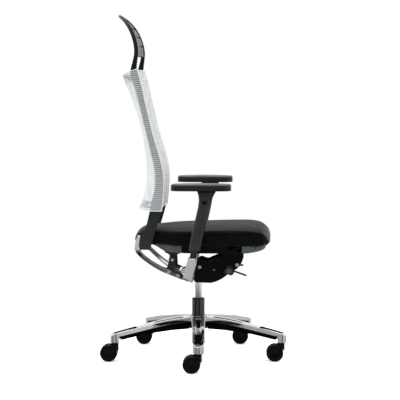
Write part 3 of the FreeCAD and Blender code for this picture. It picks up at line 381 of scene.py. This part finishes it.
def finishMesh(mesh, sharp):  # merge seams and poles, turn faces outwards, smooth up to an angle
    bm = bmesh.new()
    bm.from_mesh(mesh)
    bmesh.ops.remove_doubles(bm, verts=bm.verts, dist=3e-6)
    bmesh.ops.dissolve_degenerate(bm, dist=1e-7, edges=bm.edges)
    bmesh.ops.recalc_face_normals(bm, faces=bm.faces)
    bm.to_mesh(mesh)
    bm.free()
    mesh.polygons.foreach_set("use_smooth", np.ones(len(mesh.polygons), bool))
    mesh.set_sharp_from_angle(angle=math.radians(sharp))


def attach(obj, body, finish, replaced=()):
    if finish:
        obj.data.materials.clear()
        obj.data.materials.append(finish)
    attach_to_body(obj, body)
    if replaced:
        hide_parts(*replaced)
    return obj


def addPiece(name, grids, body, finish, replaced=(), uvs=None, sharp=35):
    counts = np.cumsum([0] + [grid.shape[0] * grid.shape[1] for grid in grids])
    points = np.concatenate([grid.reshape(-1, 3) for grid in grids])
    faces = np.concatenate([gridQuads(*grid.shape[:2]) + start for grid, start in zip(grids, counts)])
    mesh = bpy.data.meshes.new(name)
    mesh.from_pydata(points, [], faces)
    if uvs is not None:
        flat = np.concatenate([uv.reshape(-1, 2) for uv in uvs])[faces.ravel()]
        mesh.uv_layers.new(name="weave").data.foreach_set("uv", flat.astype(np.float32).ravel())
    finishMesh(mesh, sharp)
    obj = bpy.data.objects.new(name, mesh)
    bpy.context.scene.collection.objects.link(obj)
    return attach(obj, body, finish, replaced)


def softCorners(points, radius, steps=5, closed=False):
    # each corner P becomes the curve (1-t)^2 A + 2t(1-t) P + t^2 B, with A and B up to a radius away
    p = np.asarray(points, float)
    before, after = np.roll(p, 1, 0), np.roll(p, -1, 0)
    toBefore, toAfter = before - p, after - p
    lengths = [np.linalg.norm(v, axis=1, keepdims=True) for v in (toBefore, toAfter)]
    cuts = [np.minimum(np.reshape(radius, (-1, 1)) * np.ones_like(length), length * 0.48) for length in lengths]
    a = p + toBefore / np.maximum(lengths[0], 1e-9) * cuts[0]
    b = p + toAfter / np.maximum(lengths[1], 1e-9) * cuts[1]
    t = np.linspace(0, 1, steps)[None, :, None]
    curve = (1 - t) ** 2 * a[:, None] + 2 * t * (1 - t) * p[:, None] + t ** 2 * b[:, None]
    if closed:
        flat = curve.reshape(-1, p.shape[1])
        return np.concatenate([flat, flat[:1]])
    return np.concatenate([p[:1], curve[1:-1].reshape(-1, p.shape[1]), p[-1:]])


def smoothAt(table, x):  # cubic Hermite curve through the rows (x, values...), slopes by central differences
    table = np.asarray(table, float)
    k, v = table[:, 0], table[:, 1:]
    slope = np.gradient(v, k, axis=0)
    x = np.asarray(x, float)
    i = np.clip(np.searchsorted(k, x) - 1, 0, len(k) - 2)
    h = (k[i + 1] - k[i])[..., None]
    t = np.clip((x - k[i])[..., None] / h, 0, 1)
    return ((1 + 2 * t) * (1 - t) ** 2 * v[i] + t * (1 - t) ** 2 * h * slope[i]
            + t * t * (3 - 2 * t) * v[i + 1] + t * t * (t - 1) * h * slope[i + 1])


def smoothPath(points, count):  # the same curve through points in space, by distance along them
    at = np.concatenate([[0], np.cumsum(np.linalg.norm(np.diff(points, axis=0), axis=1))])
    return smoothAt(np.column_stack([at, points]), np.linspace(0, at[-1], count))


def unit(v):
    return v / np.maximum(np.linalg.norm(v, axis=-1, keepdims=True), 1e-12)


def lathe(profile, centre, axis="z", turns=64, mirror=False):
    # (radius, height) turned about an axis through the centre: centre + r (cos a, sin a) across + h along
    r, h = np.asarray(profile, float).T
    a = np.linspace(0, 2 * np.pi, turns + 1)
    c, s = r[:, None] * np.cos(a), r[:, None] * np.sin(a)
    h = np.broadcast_to((-h if mirror else h)[:, None], c.shape)
    order = {"z": (c, s, h), "x": (h, c, s)}[axis]
    return np.stack(order, -1) + np.asarray(centre)


def carry(path, ring, side):
    # a ring (across, up) carried along a path: point + across * flat + up * over, where over = along x side
    path = np.asarray(path, float)
    along = unit(np.gradient(path, axis=0))
    over = unit(np.cross(along, np.broadcast_to(side, path.shape)))
    flat = np.cross(over, along)
    ring = np.broadcast_to(ring, (len(path),) + np.shape(ring)[-2:])
    return path[:, None] + ring[..., :1] * flat[:, None] + ring[..., 1:] * over[:, None]


def closeEnds(grid, edge=0.25, bulge=0.0):
    # both ends close: the end ring shrinks by edge * (1 - cos a) and moves out by bulge * sin a, then to its middle
    a = np.linspace(0, np.pi / 2, 5)[1:]
    rows = []
    for end, inner in ((grid[0], grid[1]), (grid[-1], grid[-2])):
        middle = end[:-1].mean(0)
        out = unit(middle - inner[:-1].mean(0))
        shrink = np.concatenate([1 - edge * (1 - np.cos(a)), [0.0]])[:, None, None]
        shift = np.concatenate([bulge * np.sin(a), [bulge]])[:, None, None]
        rows.append(middle + (end - middle) * shrink + out * shift)
    return np.concatenate([rows[0][::-1], grid, rows[1]])


def roundTube(path, radius, side, turns=12):  # a round ring carried along the path, with domed ends
    a = np.linspace(0, 2 * np.pi, turns + 1)
    ring = radius * np.column_stack([np.cos(a), np.sin(a)])
    return closeEnds(carry(path, ring, side), 1.0, radius)


# the CAD's own shapes with their edges rounded: a merged copy, its flat faces joined, then a bevel, whose
# width falls to `inner` of the full one on edges nearer the middle plane than `beyond`, where pieces are let in
rounding = dict(angle=32, segments=2, flatAngle=0.8, merge=2e-6, furthest=0.75)  # degrees, metres, widths


def softened(node, width, finish=None, beyond=0.0, inner=1.0):
    source = cad[node].data
    points = np.zeros(len(source.vertices) * 3)
    source.vertices.foreach_get("co", points)
    corners = np.zeros(len(source.loops), int)
    source.loops.foreach_get("vertex_index", corners)
    mesh = bpy.data.meshes.new(node + "_soft")
    mesh.from_pydata(points.reshape(-1, 3), [], corners.reshape(-1, 3))
    bm = bmesh.new()
    bm.from_mesh(mesh)
    bmesh.ops.remove_doubles(bm, verts=bm.verts, dist=rounding["merge"])
    bmesh.ops.dissolve_limit(bm, angle_limit=math.radians(rounding["flatAngle"]), verts=bm.verts, edges=bm.edges)
    angle = math.radians(rounding["angle"])
    weight = bm.edges.layers.float.new("bevel_weight_edge")
    for edge in bm.edges:
        if edge.calc_face_angle(0.0) > angle:
            edge[weight] = 1.0 if min(abs(end.co.x) for end in edge.verts) >= beyond else inner
    bm.to_mesh(mesh)
    skin = BVHTree.FromBMesh(bm)
    bm.free()
    mesh.polygons.foreach_set("use_smooth", np.ones(len(mesh.polygons), bool))
    mesh.set_sharp_from_angle(angle=angle)
    obj = bpy.data.objects.new(node + "_soft", mesh)
    bpy.context.scene.collection.objects.link(obj)
    bevel = obj.modifiers.new("edges", "BEVEL")
    bevel.width, bevel.segments, bevel.limit_method = width, rounding["segments"], "WEIGHT"
    bevel.harden_normals, bevel.use_clamp_overlap = True, False
    graph = bpy.context.evaluated_depsgraph_get()
    rounded = bpy.data.meshes.new_from_object(obj.evaluated_get(graph), preserve_all_data_layers=True,
                                              depsgraph=graph)
    for point in rounded.vertices:  # a very narrow corner throws a point out: it goes back to the shape's skin
        place, _, _, away = skin.find_nearest(point.co)
        if away > rounding["furthest"] * width:
            point.co = place
    obj.modifiers.clear()
    obj.data = rounded
    return attach(obj, bodyOf[node], finish or finishes[slotOf[node]], [node])


for node, obj in cad.items():  # every carried-over node gets its finish; those replaced below are hidden
    obj.data.materials.clear()
    obj.data.materials.append(finishes[slotOf[node]])

edgeWidths = dict(
    base_star=1.6 * mm, leg_liners=1.2 * mm, foot_pads=0.5 * mm, mech_housing=1.0 * mm, mech_covers=1.4 * mm,
    mech_axles=0.5 * mm, height_lever=1.5 * mm, lock_lever=1.5 * mm, tension_knob=0.6 * mm, back_carrier=1.2 * mm,
    carrier_bolts=0.5 * mm, hanger_brackets=0.8 * mm, seat_support=0.6 * mm, seat_pan=1.4 * mm,
    pan_shells=1.2 * mm, seat_slide_button=0.6 * mm, headrest_frame=1.2 * mm)
for side in ("right", "left"):
    edgeWidths.update({"arm_bracket_" + side: 3.2 * mm, "arm_post_" + side: 1.6 * mm,
                       "arm_button_" + side: 0.8 * mm, "upright_" + side: 1.4 * mm})
for number in range(1, 6):
    edgeWidths["castor_hood_%d" % number] = 0.8 * mm
ownFinish = dict(headrest_frame=headrestNylon, upright_right=uprightCoat, upright_left=uprightCoat,
                 height_lever=leverNylon, lock_lever=leverNylon, leg_liners=linerNylon, foot_pads=linerNylon)
letIn = dict(arm_bracket_right=(0.2, 0.12), arm_bracket_left=(0.2, 0.12))  # beyond, and the inner share
for node, width in edgeWidths.items():
    softened(node, width, ownFinish.get(node), *letIn.get(node, ()))
print("edges rounded on", len(edgeWidths), "nodes")


# gas column

column = dict(lip=1.4 * mm, collarRibs=28, ribDepth=0.35 * mm, cylinderEdge=0.8 * mm)


def makeColumn():
    low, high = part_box("stand_tube")
    outer = high.x
    wall = [(outer - 2 * mm, low.z), (outer, low.z), (outer, high.z), (outer - 2 * mm, high.z)]
    addPiece("standTube", [lathe(softCorners(wall, column["lip"] * 0.6, 4, True), (0, 0, 0))], "base", lacquer,
             ["stand_tube"])
    low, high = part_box("guide_bush")
    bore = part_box("gas_cylinder")[1].x + 0.06 * mm
    collar = high.x
    sleeve = [(bore, low.z), (outer - 2.1 * mm, low.z), (outer - 2.1 * mm, high.z - 2.4 * mm),
              (collar, high.z - 2.4 * mm), (collar, high.z - 0.8 * mm), (collar - 3.2 * mm, high.z),
              (bore + 1.4 * mm, high.z), (bore, high.z - 1.0 * mm)]
    ringed = lathe(softCorners(sleeve, 0.4 * mm, 3, True), (0, 0, 0), turns=column["collarRibs"] * 6)
    a = np.arctan2(ringed[..., 1], ringed[..., 0])
    near = np.clip((ringed[..., 2] - (high.z - 1.2 * mm)) / (1.2 * mm), 0, 1)
    ringed[..., 2] -= near * column["ribDepth"] * (0.5 + 0.5 * np.cos(column["collarRibs"] * a))  # shallow ribs
    addPiece("guideCollar", [ringed], "base", finishes["black_nylon"], ["guide_bush"])
    low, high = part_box("gas_cylinder")
    shell = [(5.1 * mm, low.z), (high.x, low.z), (high.x, high.z - 26 * mm), (high.x - 1 * mm, high.z),
             (3.1 * mm, high.z), (3.1 * mm, high.z - 14 * mm), (11.4 * mm, high.z - 16 * mm),
             (11.4 * mm, low.z + 12 * mm), (5.1 * mm, low.z + 12 * mm)]
    addPiece("gasCylinder", [lathe(softCorners(shell, column["cylinderEdge"], 3, True), (0, 0, 0), turns=72)],
             "chassis", finishes["chrome"], ["gas_cylinder"])


makeColumn()


# castor wheels: a dished core and a soft tread, turned about the axle

wheel = dict(coreRadius=27.4 * mm, boreRadius=4.1 * mm, dish=2.2 * mm, lipWidth=2.4 * mm, shoulder=3.6 * mm)


def makeWheels(number):
    node = "castor_wheels_%d" % number
    low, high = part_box(node)
    centre = (low + high) / 2
    radius, outside, inside = (high.z - low.z) / 2, (high.x - low.x) / 2, 6 * mm
    core, lip, shoulder = wheel["coreRadius"], wheel["lipWidth"], wheel["shoulder"]
    face = outside - wheel["dish"]
    coreLine = [(wheel["boreRadius"], inside), (core, inside), (core, outside - 0.4 * mm),
                (core - 0.6 * mm, outside), (core - lip, outside), (core - lip - 1.2 * mm, face),
                (12 * mm, face + 0.7 * mm), (9 * mm, outside - 0.2 * mm),
                (wheel["boreRadius"], outside - 0.2 * mm)]
    treadLine = [(core + 0.1 * mm, inside), (radius - shoulder, inside), (radius, inside + shoulder),
                 (radius, outside - shoulder - 1 * mm), (radius - shoulder * 0.8, outside - 0.8 * mm),
                 (core + 0.1 * mm, outside - 1.0 * mm)]
    coreShape = softCorners(coreLine, 0.8 * mm, 4, True)
    tread = softCorners(treadLine, 2.6 * mm, 5, True)
    cap = [(0, outside - 0.6 * mm), (10 * mm, outside - 0.6 * mm), (10 * mm, outside + 0.1 * mm),
           (7 * mm, outside + 0.9 * mm), (0, outside + 1.1 * mm)]
    cap = softCorners(cap, 0.8 * mm, 4)
    sides = (False, True)
    cores = [lathe(line, centre, "x", 64, side) for line in (coreShape, cap) for side in sides]
    addPiece("wheelCores%d" % number, cores, "wheels_%d" % number, finishes["black_nylon"], [node])
    addPiece("wheelTreads%d" % number, [lathe(tread, centre, "x", 64, side) for side in sides],
             "wheels_%d" % number, finishes["castor_tread"], [node])


for number in range(1, 6):
    makeWheels(number)
print("column and castors made")


# tilt spring: a closed coil round the back axle

coil = dict(turns=9, radius=10.5 * mm, wire=2.0 * mm, pitch=5.6 * mm)


def makeSpring():
    low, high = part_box("tilt_spring")
    centre = (low + high) / 2
    t = np.linspace(0, 1, coil["turns"] * 28)
    a = 2 * np.pi * coil["turns"] * t
    half = coil["pitch"] * coil["turns"] / 2
    path = np.column_stack([half * (2 * t - 1), coil["radius"] * np.cos(a), coil["radius"] * np.sin(a)])
    addPiece("tiltCoil", [roundTube(path + np.array(centre), coil["wire"], (1, 0, 0))], "chassis",
             finishes["zinc_steel"], ["tilt_spring"])


makeSpring()


# seat cushion: foam under a close weave, sewn at a seam that runs along both sides and down round the front

cushion = dict(voxel=4.8 * mm, pressure=2.2, frames=14, cap=3 * mm, start=2.0 * mm, groove=1.6 * mm,
               grooveWidth=3.0 * mm, piping=1.7 * mm)
seatHalfWidth = [(-279, 0), (-278.6, 60), (-277, 120), (-268, 195), (-248, 229), (-205, 240), (-90, 240), (20, 238),
                 (80, 222), (119, 190), (143, 164), (182, 150), (218, 134), (238, 92), (242, 40), (243, 0)]
crownLine = [(-279, 452), (-278, 466), (-275, 480), (-264, 499), (-244, 511), (-204, 517), (-150, 517),
             (-57, 514.5), (24, 512), (138, 508), (200, 503), (222, 495), (236, 478), (243, 452)]
seamLine = [(-279, 452), (-277, 456), (-268, 468), (-257, 487), (-246, 496), (-230, 501), (-204, 504),
            (-116, 505), (2, 502), (131, 498), (200, 493), (224, 484), (237, 471), (243, 452)]
seatBottom = 452.2
seatHeart = np.array([0, -0.018, 0.475])  # metres: the grooves are drawn in towards this point


def seatForm():
    # a row for each y: over the top from seam to seam, z = seam + (crown - seam)(1 - |x/w|^3), then down the sides
    rows = 120
    y = -18 - 261 * np.cos(np.linspace(0, np.pi, rows))
    width = np.maximum(np.interp(y, *np.array(seatHalfWidth, float).T), 0.5)
    crown, seam = smoothAt(crownLine, y)[:, 0], smoothAt(seamLine, y)[:, 0]
    seam = np.minimum(seam, crown)
    s = np.linspace(-1, 1, 61)
    top = np.stack([s * width[:, None], crown[:, None] * 0 + seam[:, None]
                    + (crown - seam)[:, None] * (1 - np.abs(s) ** 3)], -1)
    d = np.linspace(0, 1, 16)[1:]
    sideX = width[:, None] * (1 + 0 * d) - 9 * d ** 2 + 3.0 * np.sin(np.pi * d)
    sideZ = seam[:, None] + (seatBottom - seam)[:, None] * d
    rightSide = np.stack([np.maximum(sideX, 0.2), sideZ], -1)
    leftSide = np.stack([-np.maximum(sideX, 0.2), sideZ], -1)[:, ::-1]
    across = np.linspace(1, -1, 41)[1:-1]
    under = np.stack([across * rightSide[:, -1:, 0], 0 * across + rightSide[:, -1:, 1]], -1)
    ring = np.concatenate([top, rightSide, under, leftSide], 1)
    ring = np.concatenate([ring, top[:, :1]], 1)
    grid = np.empty(ring.shape[:2] + (3,))
    grid[..., 0], grid[..., 1], grid[..., 2] = ring[..., 0], y[:, None], ring[..., 1]
    middle = grid[:, :-1].mean(1, keepdims=True)
    grid += unit(middle - grid) * cushion["start"]  # starts a little small, because it swells
    return grid * mm


def applied(obj):  # the evaluated mesh, with no modifier left
    mesh = bpy.data.meshes.new_from_object(obj.evaluated_get(bpy.context.evaluated_depsgraph_get()))
    obj.modifiers.clear()
    obj.data = mesh
    return mesh


def coordinates(mesh):
    flat = np.zeros(len(mesh.vertices) * 3, np.float32)
    mesh.vertices.foreach_get("co", flat)
    return flat.reshape(-1, 3).astype(float)


def inflate(obj, pressure, frames, cap, floorZ):
    # cloth under air pressure with gravity off; no point goes further than the cap, or under the plane it rests on
    start = coordinates(obj.data)
    cloth = obj.modifiers.new("cloth", "CLOTH")
    settings = cloth.settings
    settings.quality, settings.mass = 6, 0.4
    settings.tension_stiffness = settings.compression_stiffness = settings.shear_stiffness = 30
    settings.bending_stiffness = 6.0
    settings.use_pressure, settings.uniform_pressure_force = True, pressure
    settings.effector_weights.gravity = 0.0
    cloth.point_cache.frame_start, cloth.point_cache.frame_end = 1, frames
    for step in range(1, frames + 1):
        bpy.context.scene.frame_set(step)
    mesh = applied(obj)
    bpy.context.scene.frame_set(1)
    moved = coordinates(mesh) - start
    length = np.linalg.norm(moved, axis=1, keepdims=True)
    moved *= np.minimum(1, cap / np.maximum(length, 1e-9))
    place = start + moved
    place[:, 2] = np.maximum(place[:, 2], floorZ)
    mesh.vertices.foreach_set("co", place.astype(np.float32).ravel())
    mesh.update()


def smoothed(obj, factor, times):
    smooth = obj.modifiers.new("smooth", "SMOOTH")
    smooth.factor, smooth.iterations = factor, times
    applied(obj)


def seamPath(sign):  # along one side at the seam's height, from the rear end round the front corner and across
    y = np.linspace(222, -262, 140)
    x = np.interp(y, *np.array(seatHalfWidth, float).T)
    z = smoothAt(seamLine, y)[:, 0]
    return np.column_stack([sign * x, y, z]) * mm


def makeCushion():
    obj = addPiece("seatCushion", [seatForm()], "seat", finishes["black_wool"], ["seat_cushion"],
                   sharp=60)
    remesh = obj.modifiers.new("remesh", "REMESH")
    remesh.mode, remesh.voxel_size = "VOXEL", cushion["voxel"]
    applied(obj)
    inflate(obj, cushion["pressure"], cushion["frames"], cushion["cap"], seatBottom * mm)
    smoothed(obj, 0.5, 2)
    divide = obj.modifiers.new("divide", "SUBSURF")
    divide.levels = divide.render_levels = 1
    applied(obj)
    place = coordinates(obj.data)
    tree = BVHTree.FromPolygons(place.tolist(), [list(face.vertices) for face in obj.data.polygons])
    pipings = []
    for sign in (-1, 1):
        path = np.array([tree.find_nearest(Vector(point))[0] for point in seamPath(sign)])
        path = smoothPath(path[::4], 120)
        gap = np.linalg.norm(place[:, None, :] - path[None, ::2, :], axis=2).min(1)
        pull = cushion["groove"] * np.exp(-(gap / cushion["grooveWidth"]) ** 2)
        inward = unit(seatHeart - place)
        place += inward * pull[:, None]
        outward = unit(path - seatHeart)
        pipings.append(roundTube(path + outward * 0.2 * mm, cushion["piping"], (0, 0, 1), 10))
    obj.data.vertices.foreach_set("co", place.astype(np.float32).ravel())
    obj.data.polygons.foreach_set("use_smooth", np.ones(len(obj.data.polygons), bool))
    obj.data.update()
    addPiece("seatPiping", pipings, "seat", finishes["black_wool"])


makeCushion()
print("cushion made")


# arm sleeves: an oval tube that flares out under the pad, with a sunk place for the release button

armSleeve = dict(foot=440, length=215, button=(-31.0, 617.0), oval=(10.6, 7.6), sunk=1.8, flare=4.0,
                 flareFrom=628, flareOver=27, rows=150, around=96)  # mm
sleeveTable = [(440, -16.5, 28), (479, -24, 21.5), (512, -31.5, 13.5), (545, -38.8, 5.3), (578, -45.5, -2.5),
               (608, -51.6, -8.8), (628, -58, -10.5), (643, -65.5, -8.5), (655, -72, -5)]


def makeArmSleeve(side, sign):
    low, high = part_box("arm_sleeve_" + side)
    middle = abs(low.x + high.x) / 2 / mm
    narrow = (high.x - low.x) / 2 / mm - 4.0
    z = armSleeve["foot"] + armSleeve["length"] * np.linspace(0, 1, armSleeve["rows"])
    front, rear = smoothAt(sleeveTable, z).T
    a = np.linspace(0, 2 * np.pi, armSleeve["around"] + 1)
    c, s = np.cos(a), np.sin(a)
    flare = armSleeve["flare"] * np.clip((z - armSleeve["flareFrom"]) / armSleeve["flareOver"], 0, 1) ** 2
    x = (narrow + flare)[:, None] * np.sign(c) * np.abs(c) ** 0.95  # outline: |x/a|^2.1 + |y/b|^2.3 = 1
    y = ((front + rear) / 2)[:, None] + ((rear - front) / 2)[:, None] * np.sign(s) * np.abs(s) ** 0.87
    dy = (y - armSleeve["button"][0]) / armSleeve["oval"][0]
    dz = (z[:, None] - armSleeve["button"][1]) / armSleeve["oval"][1]
    hollow = np.clip(4 * (1 - np.sqrt(dy ** 2 + dz ** 2)), 0, 1) * (x > 0)
    x = x - armSleeve["sunk"] * hollow
    grid = np.stack([sign * (middle + x), y, np.broadcast_to(z[:, None], x.shape)], -1) * mm
    addPiece("armSleeve_" + side, [closeEnds(grid, 0.12, 0.8 * mm)], "arm_" + side, sleeveNylon,
             ["arm_sleeve_" + side], sharp=50)


makeArmSleeve("right", -1)
makeArmSleeve("left", 1)


# arm pads: a soft crowned pad on a hard plate, both drawn from one outline

armPad = dict(crown=3.0 * mm, edge=6.5 * mm, count=120, plate=(-73 * mm, -4 * mm), plateHalf=20 * mm)


def padOutline(low, high):  # a rounded oblong: |x/a|^4 + |y/b|^7 = 1, with arcs at its ends
    a = np.linspace(0, 2 * np.pi, armPad["count"] + 1)
    c, s = np.cos(a), np.sin(a)
    half, reach = (high.x - low.x) / 2, (high.y - low.y) / 2
    x = half * np.sign(c) * np.abs(c) ** 0.52
    y = reach * np.sign(s) * np.abs(s) ** 0.42
    return np.column_stack([x, y]), np.array([(low.x + high.x) / 2, (low.y + high.y) / 2])


def pillow(outline, centre, profile, crown=0.0):
    # rows (inset, height) from the underside's middle over the edge to the top's; the top swells by the crown
    inset, height = np.asarray(profile, float).T
    reach = np.abs(outline).max(0)
    shrink = 1 - inset[:, None] / reach[None, :]
    flat = outline[None] * np.maximum(shrink, 0)[:, None, :]
    r = np.linalg.norm(flat / reach, axis=2)
    top = (np.arange(len(inset)) > len(inset) * 0.45)[:, None]
    z = height[:, None] + crown * np.clip(1 - r ** 2, 0, 1) * top
    return np.dstack([flat + centre, z])


def makeArmPad(side):
    node = "arm_pad_" + side
    low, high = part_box(node)
    split = high.z - 26 * mm
    outline, centre = padOutline(low, high)
    depth = armPad["edge"]
    top = high.z - armPad["crown"] + 1 * mm
    reach = (high.x - low.x) / 2
    soft = softCorners([(8 * mm, split), (0.6 * mm, split), (0, split + 3 * mm), (0.4 * mm, top - 4 * mm),
                        (depth * 0.7, top - 0.4 * mm), (depth + 12 * mm, top)], 3 * mm, 6)
    inner = np.linspace(depth + 14 * mm, reach, 12)
    profile = np.concatenate([[(reach, split)], soft, np.column_stack([inner, np.full(12, top)])])
    pad = addPiece("armPad_" + side, [pillow(outline, centre, profile, armPad["crown"])], node,
                   finishes["pad_foam"], [node], sharp=50)
    bottom = split - 5.6 * mm  # the plate's middle, as wide as the sleeve's flared top
    half, (rear, front) = armPad["plateHalf"], armPad["plate"]
    outline, centre = padOutline(Vector((centre[0] - half, rear, bottom)), Vector((centre[0] + half, front, split)))
    rim = softCorners([(6 * mm, bottom), (0.5 * mm, bottom), (0, split), (6 * mm, split)], 1 * mm, 4)
    profile = np.concatenate([[(half, bottom)], rim, [(half, split)]])
    addPiece("armPlate_" + side, [pillow(outline, centre, profile)], node, finishes["black_nylon"],
             [node])


for side in ("right", "left"):
    makeArmPad(side)
print("arm pads made")


# knitted back: two faces and two side strips, sewn together over the uprights, with tape at the rim and hem

sleeve = dict(side=185.2, hem=578.6, height=520.0, edgeBand=36.0, tape=1.7 * mm, rows=90)  # mm, but for the tape
sleeveLevels = [(578, 131, 177, 227), (610, 127.5, 170, 213), (650, 124, 160, 203), (693, 122.5, 156, 197.5),
                (740, 128, 159.5, 199), (790, 140, 170.5, 203.5), (846, 157, 183.5, 211), (932, 179, 204, 231),
                (995, 193.5, 220, 254.5), (1050, 206, 235.5, 277.5), (1112, 222.5, 254.5, 297.8)]
rimPoint, rimSlope = (220.0, 1104.6), -0.33


def rimHeight(y):  # the top rim drops towards the rear
    return rimPoint[1] + rimSlope * (y - rimPoint[0])


def knitSheet(across, depth, v):
    # x = across * side; y blends front, rear and middle by depth(level columns); z runs from hem to sloping rim
    atTop = depth(smoothAt(sleeveLevels, np.full(across.shape, 1090.0)))
    z = sleeve["hem"] + v[:, None] * (rimHeight(atTop) - sleeve["hem"])[None, :]
    y = depth(smoothAt(sleeveLevels, z))
    x = np.broadcast_to(across, z.shape)
    return np.stack([x, y, z], -1) * mm


def sheetUv(grid):  # distance along the rows and columns, in metres
    u, v = np.zeros(grid.shape[:2]), np.zeros(grid.shape[:2])
    u[:, 1:] = np.cumsum(np.linalg.norm(np.diff(grid, axis=1), axis=2), 1)
    v[1:] = np.cumsum(np.linalg.norm(np.diff(grid, axis=0), axis=2), 0)
    return np.stack([u - u.mean(1, keepdims=True), v], -1)


def sheetSize(grid):
    uv = sheetUv(grid)
    return float(np.ptp(uv[..., 0], axis=1).mean()), float(uv[-1, :, 1].mean())


def addKnit(name, grid, finish):
    obj = addPiece(name, [grid], "back", finish, ["back_panel_front", "back_panel_rear"],
                   [sheetUv(grid)], sharp=60)
    sheetSize(grid)


def makeSleeve():
    side = sleeve["side"]
    v = np.linspace(0, 1, sleeve["rows"])
    rearX = side * np.sin(np.linspace(-np.pi / 2, np.pi / 2, 49))
    frontX = np.linspace(-side + 1.5, side - 1.5, 41)
    bandShare = sleeve["edgeBand"] / sleeve["height"]
    rear = lambda level: level[..., 1] - 0.6 + (level[..., 2] - level[..., 1]) * (1 - (rearX / side) ** 2)
    front = lambda level: level[..., 0] + 0.4 + 7.0 * (1 - (frontX / side) ** 2)
    tapes = []
    for name, rows in (("knitRear", v[(v > bandShare) & (v < 1 - bandShare)]),
                       ("knitRearTop", np.linspace(1 - bandShare, 1, 10)),
                       ("knitRearHem", np.linspace(0, bandShare, 10))):
        if name == "knitRear":
            rows = np.concatenate([[bandShare], rows, [1 - bandShare]])
        grid = knitSheet(rearX, rear, rows)
        addKnit(name, grid, finishes["white_knit"] if name == "knitRear" else bandKnit)
    rearEdge = knitSheet(rearX, rear, v)
    frontGrid = knitSheet(frontX, front, v)
    addKnit("knitFront", frontGrid, finishes["white_knit"])
    for sign, label in ((-1, "right"), (1, "left")):
        share = np.linspace(0, 1, 13)
        bow = side + 0.5 * np.sin(np.pi * share)
        depth = lambda level: level[..., 0] + (level[..., 1] - 0.6 - level[..., 0]) * share
        strip = knitSheet(sign * bow, depth, v)
        addKnit("knitStrip_" + label, strip, stripKnit)
        tapes.append(roundTube(strip[:, 0] + np.array([0, -0.3 * mm, 0]), sleeve["tape"], (1, 0, 0), 10))
        tapes += [roundTube(strip[row], sleeve["tape"] * 0.8, (0, 0, 1), 10) for row in (0, -1)]
    tapes += [roundTube(grid[row], sleeve["tape"] * 0.8, (0, 0, 1), 10) for grid in (rearEdge, frontGrid)
              for row in (0, -1)]
    addPiece("sleeveTape", tapes, "back", hemTape)


makeSleeve()
print("knitted back made")


# headrest bands: ribbed webbing stretched between the sides of the horseshoe

bands = dict(levels=[(1157, 1195), (1199, 1229), (1233, 1262), (1266, 1290)], thickness=2.3 * mm, sag=13.0,
             hem=1.5 * mm)
horseshoe = [(1074, 172, 227.5), (1102, 172, 234), (1128, 171.5, 230), (1158, 170.5, 225), (1190, 167, 226),
             (1222, 159, 234), (1250, 146, 246), (1277, 122, 264), (1295, 90, 281), (1305.5, 46, 295),
             (1308, 0, 299)]


def makeBands():
    levels, half, depth = np.array(horseshoe, float).T
    for index, (low, high) in enumerate(bands["levels"]):
        z = np.linspace(low, high, 9)
        x = np.linspace(-1, 1, 37)
        reach = np.interp(z, levels, half) - 5.2
        y = np.interp(z, levels, depth)
        grid = np.empty((9, 37, 3))
        grid[..., 0] = x * reach[:, None]
        grid[..., 1] = y[:, None] + bands["sag"] * (1 - x * x) - bands["sag"] * 0.3 + 1.2
        grid[..., 2] = z[:, None]
        grid *= mm
        band = addPiece("headrestBand%d" % (index + 1), [grid], "headrest", finishes["grey_band_fabric"],
                        ["headrest_bands"], [sheetUv(grid)], sharp=60)
        thick = band.modifiers.new("thickness", "SOLIDIFY")
        thick.thickness, thick.offset = bands["thickness"], 0.0
        sheetSize(grid)
        hems = [roundTube(grid[row], bands["hem"], (0, 0, 1), 10) for row in (0, -1)]
        addPiece("bandHems%d" % (index + 1), hems, "headrest", finishes["black_nylon"])


makeBands()
print("headrest bands made")
